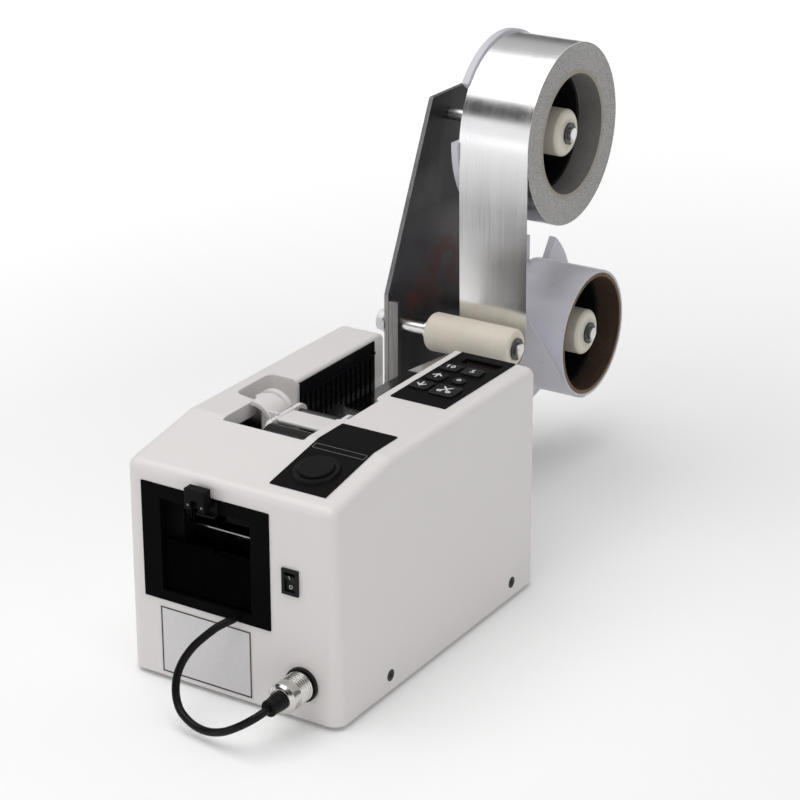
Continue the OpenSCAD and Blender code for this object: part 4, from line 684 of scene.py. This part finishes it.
# sensor lead: the route is the one in the part's source: across, out from the front face, up from the base
leadLook = {
    "diameter": 0.0045, "sides": 18, "between": 6, "base": 3,
    "route": [(2, -0.8, 51), (1.6, -4.5, 50.8), (0, -8.5, 50.2), (-3.5, -12.5, 48), (-8, -17, 43.5), (-13, -21.5, 37.5),
              (-16.5, -26.5, 30), (-17, -31.5, 22.5), (-14.5, -36, 15), (-9.5, -39.5, 9), (-2, -42, 5.5), (6, -43.5, 4),
              (14.5, -44.5, 4.8), (23, -45, 7.8), (30.5, -44.5, 12), (36.5, -42.8, 16), (41, -39.8, 19.3),
              (43.2, -36, 21.1), (43.7, -32.5, 21.6)],
}


def smoothRoute(points, between):
    path = []
    for i in range(len(points) - 1):
        before, start = points[max(i - 1, 0)], points[i]
        end, after = points[i + 1], points[min(i + 2, len(points) - 1)]
        for step in range(between):
            t = step / between
            path.append(0.5 * (2 * start + (end - before) * t + (2 * before - 5 * start + 4 * end - after) * t * t
                               + (3 * start - before - 3 * end + after) * t ** 3))
    return path + [points[-1]]


def tubeAlong(path, radius, sides):
    rings, side = [], None
    for i, point in enumerate(path):
        ahead = headingAt(path, i)
        side = ahead.orthogonal().normalized() if side is None else (side - ahead * side.dot(ahead)).normalized()
        other = ahead.cross(side)
        rings.append([point + radius * (math.cos(t) * side + math.sin(t) * other) for t in turnsOf(sides)])
    return loft(rings)


leadRoute = [fromHousing(x, housingFront + out, leadLook["base"] + up) for x, out, up in leadLook["route"]]
leadPath = smoothRoute(leadRoute, leadLook["between"])
leadShape = tubeAlong(leadPath, leadLook["diameter"] / 2, leadLook["sides"])
lead = addPiece("sensorLead", leadShape, "cable_black", "machine", True)
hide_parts("sensor_cable")


# foil sheet: the roll's outer turn, then down behind the guide roller and under it
sheetLook = {"rollRadius": 57.65, "guideRadius": 13.0, "thick": 0.2, "wrap": 350, "step": 3.5, "run": 12}


def arc(centre, radius, start, end, step):
    count = math.ceil(abs(end - start) / math.radians(step))
    turns = [start + (end - start) * k / count for k in range(count + 1)]
    return [centre + radius * Vector((math.cos(t), math.sin(t))) for t in turns]


def sheetPath(look):
    roll, guide = Vector(supplyAt), Vector(guideAt)
    across = roll - guide
    lean = math.atan2(across.y, across.x) - math.acos((look["rollRadius"] + look["guideRadius"]) / across.length)
    leaving = lean + math.pi
    wound = arc(roll, look["rollRadius"], leaving - math.radians(look["wrap"]), leaving, look["step"])
    under = arc(guide, look["guideRadius"], lean, -math.pi / 2, look["step"])
    return wound + [wound[-1].lerp(under[0], k / look["run"]) for k in range(1, look["run"])] + under


def stripAlong(path, thick):
    rings = []
    for i, point in enumerate(path):
        ahead = headingAt(path, i)
        out = Vector((ahead.y, -ahead.x)) * thick / 2
        corners = (tapeLeft, 1), (tapeRight, 1), (tapeRight, -1), (tapeLeft, -1)
        rings.append([fromHousing(x, *(point + side * out)) for x, side in corners])
    return loft(rings)


sheetShape = stripAlong(sheetPath(sheetLook), sheetLook["thick"])
sheet = addPiece("foilSheet", sheetShape, "webFoil", "machine", True)
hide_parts("foil_web")

# kink in the tape where it dips towards the feed unit: a thin sheet with a slanting ridge, flat along three edges
kinkLook = {"right": -15, "near": 29, "far": 53, "level": 112.2, "rise": 3.6, "thick": 0.12, "columns": 16, "rows": 16,
            "rim": 6, "ridge": 0.85, "fall": 0.45}


def kinkSheet(look):
    columns, rows = look["columns"], look["rows"]
    verts, faces = [], []
    for side in (0.5, -0.5):
        for r in range(rows + 1):
            for c in range(columns + 1):
                u, v = c / columns, r / rows
                rim = min(1, look["rim"] * (1 - u), look["rim"] * v, look["rim"] * (1 - v))
                ridge = max(0, 1 - abs(u + v - 1) / look["ridge"]) * (1 - look["fall"] * u)
                verts.append(fromHousing(tapeLeft + u * (look["right"] - tapeLeft),
                                         look["near"] + v * (look["far"] - look["near"]),
                                         look["level"] + look["rise"] * rim * ridge + side * look["thick"]))
    wide, half = columns + 1, (columns + 1) * (rows + 1)
    for r in range(rows):
        for c in range(columns):
            a = r * wide + c
            top = a, a + 1, a + wide + 1, a + wide
            faces += [top, tuple(half + corner for corner in reversed(top))]
    edge = list(range(wide)) + [r * wide + columns for r in range(1, rows + 1)]
    edge += [rows * wide + c for c in range(columns - 1, -1, -1)] + [r * wide for r in range(rows - 1, 0, -1)]
    faces += [(b, a, half + a, half + b) for a, b in zip(edge, edge[1:] + edge[:1])]
    return verts, faces


addPiece("tape_kink", kinkSheet(kinkLook), "foil", "machine", True)
print("foil placed")

# flat marks: closed prisms on a surface, laid out in millimetres across it
rightward, downward, inward = Vector((1, 0, 0)), Vector((0, 0, -1)), Vector((0, 1, 0))


def placeOn(origin, up):
    out = rightward.cross(Vector(up)).normalized()
    rise = out.cross(rightward)
    return lambda u, v, h: origin + (u * rightward + v * rise + h * out) / 1000


# the spot a straight line meets on a solid, with marks upright there
def layOn(node, start, toward):
    mesh = cadNodes[node].data
    skin = BVHTree.FromPolygons([v.co.copy() for v in mesh.vertices], [tuple(f.vertices) for f in mesh.polygons])
    spot, normal, _, _ = skin.ray_cast(start, toward)
    return placeOn(spot, normal.cross(rightward))


def prism(outline, low, high, place):
    return loft([[place(u, v, h) for u, v in outline] for h in (low, high)])


# a line of even width with round ends
strokeLook = {"sharpest": 0.4, "capSteps": 6}


def strokeOutline(points, width):
    points = [Vector(p) for p in points]
    left, right = [], []
    for i, point in enumerate(points):
        before = (point - points[i - 1]).normalized() if i else (points[1] - point).normalized()
        after = (points[i + 1] - point).normalized() if i + 1 < len(points) else before
        ahead = (before + after).normalized()
        side = Vector((-ahead.y, ahead.x)) * (width / 2) / max(ahead.dot(after), strokeLook["sharpest"])
        left.append(point + side)
        right.append(point - side)

    def cap(centre, edge):
        turns = [math.pi * k / strokeLook["capSteps"] for k in range(1, strokeLook["capSteps"])]
        return [centre + edge * math.cos(t) + Vector((edge.y, -edge.x)) * math.sin(t) for t in turns]

    ring = left + cap(points[-1], left[-1] - points[-1]) + list(reversed(right)) + cap(points[0], right[0] - points[0])
    return [tuple(p) for p in reversed(ring)]


# a closed line: an outer and an inner loop joined by walls
def loopPrism(outer, inner, low, high, place):
    count = len(outer)
    verts = [place(u, v, h) for loop in (outer, inner) for h in (low, high) for u, v in loop]
    faces = []
    for i in range(count):
        j = (i + 1) % count
        faces += [(i, j, count + j, count + i), (3 * count + i, 3 * count + j, 2 * count + j, 2 * count + i),
                  (count + i, count + j, 3 * count + j, 3 * count + i), (2 * count + i, 2 * count + j, j, i)]
    return verts, faces


def ringLoop(centre, across, tall, sides=28):
    return [(centre[0] + across / 2 * math.cos(t), centre[1] + tall / 2 * math.sin(t)) for t in turnsOf(sides)]


# a ring of even line width, round or oval
def ringPrism(centre, across, tall, line, low, high, place):
    inner = ringLoop(centre, across - 2 * line, tall - 2 * line)
    return loopPrism(ringLoop(centre, across, tall), inner, low, high, place)


def roundRect(width, height, corner, steps=5):
    loop = []
    for x, y, start in ((1, 1, 0), (-1, 1, 90), (-1, -1, 180), (1, -1, 270)):
        for k in range(steps + 1):
            turn = math.radians(start + 90 * k / steps)
            loop.append((x * (width / 2 - corner) + corner * math.cos(turn),
                         y * (height / 2 - corner) + corner * math.sin(turn)))
    return loop


def inside(size, margin):
    return [v - 2 * margin for v in size]


def joined(parts):
    verts, faces = [], []
    for someVerts, someFaces in parts:
        faces += [tuple(i + len(verts) for i in face) for face in someFaces]
        verts += someVerts
    return verts, faces


# key marks: strokes and rings, in millimetres from the middle of each key, each a little above the one before
keyInk = {"sunk": -0.05, "stroke": 0.09, "ring": 0.10, "layer": 0.012, "above": 0.01}
keyMarks = table("body line strokes rings", {
    "key_coarse": ("coarse_key", 0.8, [[(-2.9, 0.9), (-2.0, 1.7), (-2.0, -1.7)]], [((1.2, 0), 2.7, 3.9)]),
    "key_fine": ("fine_key", 0.8, [[(-0.9, 0.9), (0.1, 1.7), (0.1, -1.7)], [(-1.0, -1.75), (1.2, -1.75)]], []),
    "key_up": ("up_key", 1.15, [[(-2.6, 0), (0, 2.5), (2.6, 0)], [(0, 1.8), (0, -2.6)]], []),
    "key_mode": ("mode_key", 0.65, [[(0, 0.2), (0, 1.7)]], [((0, -0.1), 2.9, 2.9)]),
    "key_down": ("down_key", 1.15, [[(-2.6, 0), (0, -2.5), (2.6, 0)], [(0, -1.8), (0, 2.6)]], []),
    "key_cut": ("cut_key", 1.1, [[(-1.9, -1.3), (0.1, 1.0), (2.6, 3.7)], [(1.9, -1.3), (-0.1, 1.0), (-2.6, 3.7)]],
                [((-2.8, -2.5), 3.4, 3.0), ((2.8, -2.5), 3.4, 3.0)]),
})

for node, mark in keyMarks.items():
    low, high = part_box(node)
    middle = Vector(((low[0] + high[0]) / 2, (low[1] + high[1]) / 2, high[2] + keyInk["above"]))
    place = layOn(node, middle, downward)
    parts = [prism(strokeOutline(points, mark["line"]), keyInk["sunk"], keyInk["stroke"] + keyInk["layer"] * i, place)
             for i, points in enumerate(mark["strokes"])]
    parts += [ringPrism(*ring, mark["line"], keyInk["sunk"], keyInk["ring"] + keyInk["layer"] * i, place)
              for i, ring in enumerate(mark["rings"])]
    addPiece("mark_" + node, joined(parts), "whiteInk", mark["body"])
print("key marks:", len(keyMarks))

# outlined field printed on the sloping panel, in front of its fold
fieldLook = {"middle": (35.6, -57.2, 160), "size": (33.2, 4.6), "corner": 0.3, "line": 0.32, "ink": (-0.03, 0.05)}
fieldPlace = layOn("auto_panel", fromHousing(*fieldLook["middle"]), downward)
fieldLoops = [roundRect(*fieldLook["size"], fieldLook["corner"] + fieldLook["line"]),
              roundRect(*inside(fieldLook["size"], fieldLook["line"]), fieldLook["corner"])]
addPiece("panel_field", loopPrism(*fieldLoops, *fieldLook["ink"], fieldPlace), "greyInk", "machine")

# black lining of the display's opening
liningLook = {"middle": (38, 90.25, 139.85), "tall": 1.7, "outer": (24.9, 8.4), "inner": (24.3, 7.8), "corner": 0.1}
liningPlace = placeOn(fromHousing(*liningLook["middle"]), (0, 1, 0))
liningLoops = [roundRect(*liningLook[side], liningLook["corner"]) for side in ("outer", "inner")]
liningShape = loopPrism(*liningLoops, 0, liningLook["tall"], liningPlace)
addPiece("display_lining", liningShape, "panel_black", "machine")

# blank sticker under the mouth, with a printed border
stickerLook = {"middle": (-20.2, -160, 26), "size": (62.5, 42.5), "corner": 1.0, "paper": (-0.05, 0.12), "inset": 0.9,
               "line": 0.95, "borderCorners": (0.5, 0.2), "ink": (0.05, 0.15)}
stickerPlace = layOn("housing", fromHousing(*stickerLook["middle"]), inward)
stickerShape = prism(roundRect(*stickerLook["size"], stickerLook["corner"]), *stickerLook["paper"], stickerPlace)
addPiece("front_sticker", stickerShape, "stickerPaper", "machine")
borderMargins = stickerLook["inset"], stickerLook["inset"] + stickerLook["line"]
borderLoops = [roundRect(*inside(stickerLook["size"], margin), corner)
               for margin, corner in zip(borderMargins, stickerLook["borderCorners"])]
borderShape = loopPrism(*borderLoops, *stickerLook["ink"], stickerPlace)
addPiece("sticker_border", borderShape, "darkInk", "machine")

# line and ring on the power switch
rockerMarks = {"ring": (37.2, -140, 80.9), "bar": (37.2, -140, 87.0), "size": 2.3, "reach": 1.0, "line": 0.38,
               "ink": (-0.04, 0.07)}
ringPlace, barPlace = [layOn("rocker", fromHousing(*rockerMarks[mark]), inward) for mark in ("ring", "bar")]
barOutline = strokeOutline([(0, -rockerMarks["reach"]), (0, rockerMarks["reach"])], rockerMarks["line"])
ringSize = rockerMarks["size"], rockerMarks["size"]
rockerParts = [ringPrism((0, 0), *ringSize, rockerMarks["line"], *rockerMarks["ink"], ringPlace),
               prism(barOutline, *rockerMarks["ink"], barPlace)]
addPiece("rocker_marks", joined(rockerParts), "whiteInk", "power_rocker")
print("printed marks placed")

# small domed lenses in the sensor's bores
lensLook = {"across": (-22.5, -13.5), "height": 118, "radius": 0.8, "dome": 0.4, "sunk": 0.4, "front": -117, "long": 3,
            "sides": 20, "rows": (0, 0.35, 0.7, 1.05, 1.35)}


def lensDome(look, across):
    place = placeOn(fromHousing(across, look["front"], look["height"]), (0, 0, 1))
    rows = [(look["radius"], -look["long"])]
    rows += [(look["radius"] * math.cos(t), look["dome"] * math.sin(t) - look["sunk"]) for t in look["rows"]]
    return loft([[place(r * math.cos(t), r * math.sin(t), h) for t in turnsOf(look["sides"])] for r, h in rows])


lensShape = joined([lensDome(lensLook, x) for x in lensLook["across"]])
addPiece("sensor_lenses", lensShape, "lensGlass", "machine", True)


# pieces grown by geometry nodes
def startTree(name, inputs):
    tree = bpy.data.node_groups.new(name, "GeometryNodeTree")
    for label, kind, value in inputs:
        tree.interface.new_socket(label, in_out="INPUT", socket_type="NodeSocket" + kind).default_value = value
    tree.interface.new_socket("Geometry", in_out="OUTPUT", socket_type="NodeSocketGeometry")
    return tree, addNode(tree, "NodeGroupInput").outputs


def grow(tree, kind, sockets, **settings):
    return addNode(tree, "GeometryNode" + kind, sockets, **settings).outputs[0]


def combine(tree, sockets):
    return addNode(tree, "ShaderNodeCombineXYZ", sockets).outputs[0]


def endTree(tree, geometry, finish):
    plain = grow(tree, "RealizeInstances", {"Geometry": geometry})
    dressed = grow(tree, "SetMaterial", {"Geometry": plain, "Material": finishes[finish]})
    addNode(tree, "NodeGroupOutput", {"Geometry": dressed})


def growPiece(name, tree, values, body, smooth=False):
    piece = bpy.data.objects.new(name, bpy.data.meshes.new(name))
    bpy.context.collection.objects.link(piece)
    modifier = piece.modifiers.new("grow", "NODES")
    modifier.node_group = tree
    for socket in tree.interface.items_tree:
        if socket.in_out == "INPUT" and socket.name in values:
            modifier[socket.identifier] = values[socket.name]
    grown = bpy.data.meshes.new_from_object(piece.evaluated_get(bpy.context.evaluated_depsgraph_get()))
    piece.modifiers.clear()
    piece.data = grown
    for face in grown.polygons:
        face.use_smooth = smooth
    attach(piece, body)


# a look's lengths as socket values: first letter large, millimetres to metres
def lengths(look, names):
    return {name.capitalize(): look[name] / 1000 for name in names.split()}


# wound edge: one spiral line from the core to the outside of a roll
def makeWindings(name, finish):
    tree, given = startTree(name, [("Turns", "Float", 20.0), ("Inner", "Float", 0.04), ("Outer", "Float", 0.057),
                                   ("Line", "Float", 0.0002), ("Centre", "Vector", (0, 0, 0))])
    coil = grow(tree, "CurveSpiral", {"Resolution": 64, "Rotations": given["Turns"], "Start Radius": given["Inner"],
                                      "End Radius": given["Outer"], "Height": 0.0})
    section = grow(tree, "CurvePrimitiveCircle", {"Resolution": 5, "Radius": given["Line"]})
    thread = grow(tree, "CurveToMesh", {"Curve": coil, "Profile Curve": section, "Fill Caps": True})
    upright = grow(tree, "Transform", {"Geometry": thread, "Translation": given["Centre"],
                                       "Rotation": (0, math.pi / 2, 0)})
    endTree(tree, upright, finish)
    return tree


windingSide = 11.78
windingLooks = table("finish body at turns inner outer line", {
    "supply_windings": ("roll_foil", "supply_reel", supplyAt, 18.0, 40.0, 57.2, 0.09),
    "takeup_windings": ("liner_white", "takeup_reel", takeupAt, 4.0, 40.6, 42.2, 0.09),
})
for name, look in windingLooks.items():
    growPiece(name, makeWindings(name, look["finish"]), {
        "Turns": look["turns"], "Centre": fromHousing(windingSide, *look["at"]), **lengths(look, "inner outer line")},
        look["body"], True)


# upright ribs across the exit plate
def makeRibs(name, finish):
    tree, given = startTree(name, [
        ("Count", "Int", 20), ("Start", "Vector", (0, 0, 0)), ("Step", "Vector", (0.001, 0, 0)),
        ("Length", "Float", 0.02), ("Width", "Float", 0.0005), ("Proud", "Float", 0.0002)])
    row = grow(tree, "MeshLine", {"Count": given["Count"], "Start Location": given["Start"], "Offset": given["Step"]})
    spine = grow(tree, "CurvePrimitiveLine", {"Start": (0, 0, 0), "End": combine(tree, {2: given["Length"]})})
    section = grow(tree, "CurvePrimitiveCircle", {"Resolution": 10, "Radius": 1.0})
    bar = grow(tree, "CurveToMesh", {"Curve": spine, "Profile Curve": section, "Fill Caps": True})
    thin = combine(tree, {0: given["Width"], 1: given["Proud"], 2: 1.0})
    shaped = grow(tree, "Transform", {"Geometry": bar, "Scale": thin})
    endTree(tree, grow(tree, "InstanceOnPoints", {"Points": row, "Instance": shaped}), finish)
    return tree


ribLook = {"count": 23, "start": (-45.6, -106, 58.5), "step": 2.45, "length": 27.9, "width": 0.32, "proud": 0.22}
growPiece("exit_ribs", makeRibs("exitRibs", "exit_gloss"), {
    "Count": ribLook["count"], "Start": fromHousing(*ribLook["start"]), "Step": (ribLook["step"] / 1000, 0, 0),
    **lengths(ribLook, "length width proud")}, "machine", True)


# unlit digits under the display's glass: seven bars each
def makeDigits(name, finish, look):
    tree, given = startTree(name, [
        ("Digits", "Int", 4), ("Start", "Vector", (0, 0, 0)), ("Pitch", "Float", 0.0055),
        ("Bar", "Float", 0.0022), ("Width", "Float", 0.0005), ("Thick", "Float", 0.0001)])
    hexagon = grow(tree, "MeshCircle", {"Vertices": 6, "Radius": 1.0}, fill_type="NGON")
    slim = combine(tree, {0: times(tree, given["Bar"], 0.5), 1: given["Width"], 2: 1.0})
    flat = grow(tree, "Transform", {"Geometry": hexagon, "Scale": slim})
    bar = grow(tree, "ExtrudeMesh", {"Mesh": flat, "Offset Scale": given["Thick"], "Individual": False})
    digit = addNode(tree, "GeometryNodeJoinGeometry")
    for across, along, turn in look["bars"]:
        spot = combine(tree, {0: times(tree, given["Bar"], across * look["apart"]),
                              1: times(tree, given["Bar"], along * look["apart"])})
        placed = grow(tree, "Transform", {"Geometry": bar, "Translation": spot, "Rotation": (0, 0, math.radians(turn))})
        tree.links.new(placed, digit.inputs[0])
    row = grow(tree, "MeshLine", {"Count": given["Digits"], "Start Location": given["Start"],
                                  "Offset": combine(tree, {0: given["Pitch"]})})
    endTree(tree, grow(tree, "InstanceOnPoints", {"Points": row, "Instance": digit.outputs[0]}), finish)
    return tree


digitLook = {"digits": 4, "first": 29.8, "pitch": 5.5, "middle": 90.2, "bar": 2.5, "width": 0.34, "thick": 0.06,
             "sunk": 0.02, "apart": 1.06, "bars": [(0, 1, 0), (0, 0, 0), (0, -1, 0), (-0.5, 0.5, 90), (0.5, 0.5, 90),
                                                   (-0.5, -0.5, 90), (0.5, -0.5, 90)]}
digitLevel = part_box("display_window")[1][2] * 1000 - digitLook["sunk"]
growPiece("display_digits", makeDigits("displayDigits", "deadSegment", digitLook), {
    "Digits": digitLook["digits"], "Start": fromHousing(digitLook["first"], digitLook["middle"], digitLevel),
    **lengths(digitLook, "pitch bar width thick")}, "machine")
print("grown pieces placed")

# stage: pale floor, one wide soft box overhead, a white sweep in front and a grey room behind
stageLook = {
    "size": 40.0, "floor": 0.93, "floorShade": 0.9207, "drift": 3.0, "rough": 0.9, "shine": 0.1, "lift": (0.14, 0.8),
    "reach": (0.35, 1.9), "aim": (0, 0, 0.12), "turnToBack": (-0.15, 0.35),
    "lamps": [("softBox", (-0.55, -0.85, 2.15), (2.5, 2.6), -32, 37),
              ("sideFill", (2.2, -0.6, 0.9), (1.4, 1.4), None, 5)],
    "front": [(0.0, 1.0), (0.27, 1.0), (0.315, 0.03), (0.60, 0.05), (0.70, 0.26), (1.0, 0.5)],
    "back": [(0.0, 0.12), (0.30, 0.16), (0.50, 0.42), (1.0, 0.55)],
}


# only the backdrop is lifted, where it is seen or mirrored
def makeFloor(look):
    half = look["size"] / 2
    mesh = bpy.data.meshes.new("paleFloor")
    mesh.from_pydata([(-half, -half, 0), (half, -half, 0), (half, half, 0), (-half, half, 0)], [], [(0, 1, 2, 3)])
    floor = bpy.data.objects.new("paleFloor", mesh)
    bpy.context.collection.objects.link(floor)
    tree, shader, place = startFinish("paleFloor")
    rays = addNode(tree, "ShaderNodeLightPath").outputs
    mirrored = mathNode(tree, "MAXIMUM", rays["Is Glossy Ray"], rays["Is Transmission Ray"])
    seen = mathNode(tree, "MAXIMUM", rays["Is Camera Ray"], mirrored)
    lift = spread(tree, vectorNode(tree, "LENGTH", place, output="Value"), *look["reach"], *look["lift"])
    dress(tree, shader, toneDrift(tree, place, look["drift"], look["floor"], look["floorShade"]), look["rough"],
          glow=rgba(1.0), glowStrength=times(tree, seen, lift), spec=look["shine"])
    mesh.materials.append(finishes["paleFloor"])


def makeLamp(name, place, size, turn, power, aim):
    data = bpy.data.lights.new(name, "AREA")
    data.shape = "RECTANGLE"
    data.size, data.size_y = size
    data.energy = power
    lamp = bpy.data.objects.new(name, data)
    lamp.location = place
    if turn is None:
        lamp.rotation_euler = (Vector(aim) - Vector(place)).to_track_quat("-Z", "Y").to_euler()
    else:
        lamp.rotation_euler = (0, 0, math.radians(turn))
    bpy.context.collection.objects.link(lamp)


def skyRamp(tree, height, stops):
    node = addNode(tree, "ShaderNodeValToRGB", {0: spread(tree, height, -1, 1)})
    ramp = node.color_ramp
    while len(ramp.elements) < len(stops):
        ramp.elements.new(0.5)
    for element, (level, tone) in zip(ramp.elements, stops):
        element.position = (level + 1) / 2
        element.color = rgba(tone)
    return node.outputs[0]


def makeRoom(look):
    world = bpy.data.worlds.new("studioRoom")
    world.use_nodes = True
    sky = world.node_tree
    way = addNode(sky, "ShaderNodeSeparateXYZ", {0: addNode(sky, "ShaderNodeTexCoord").outputs["Generated"]}).outputs
    ramps = [skyRamp(sky, way["Z"], look[side]) for side in ("front", "back")]
    tone = mixColor(sky, spread(sky, way["Y"], *look["turnToBack"]), *ramps)
    sky.links.new(tone, sky.nodes["Background"].inputs["Color"])
    bpy.context.scene.world = world
    bpy.context.scene.view_settings.view_transform = "Standard"


makeFloor(stageLook)
for lamp in stageLook["lamps"]:
    makeLamp(*lamp, stageLook["aim"])
makeRoom(stageLook)
print("stage set")
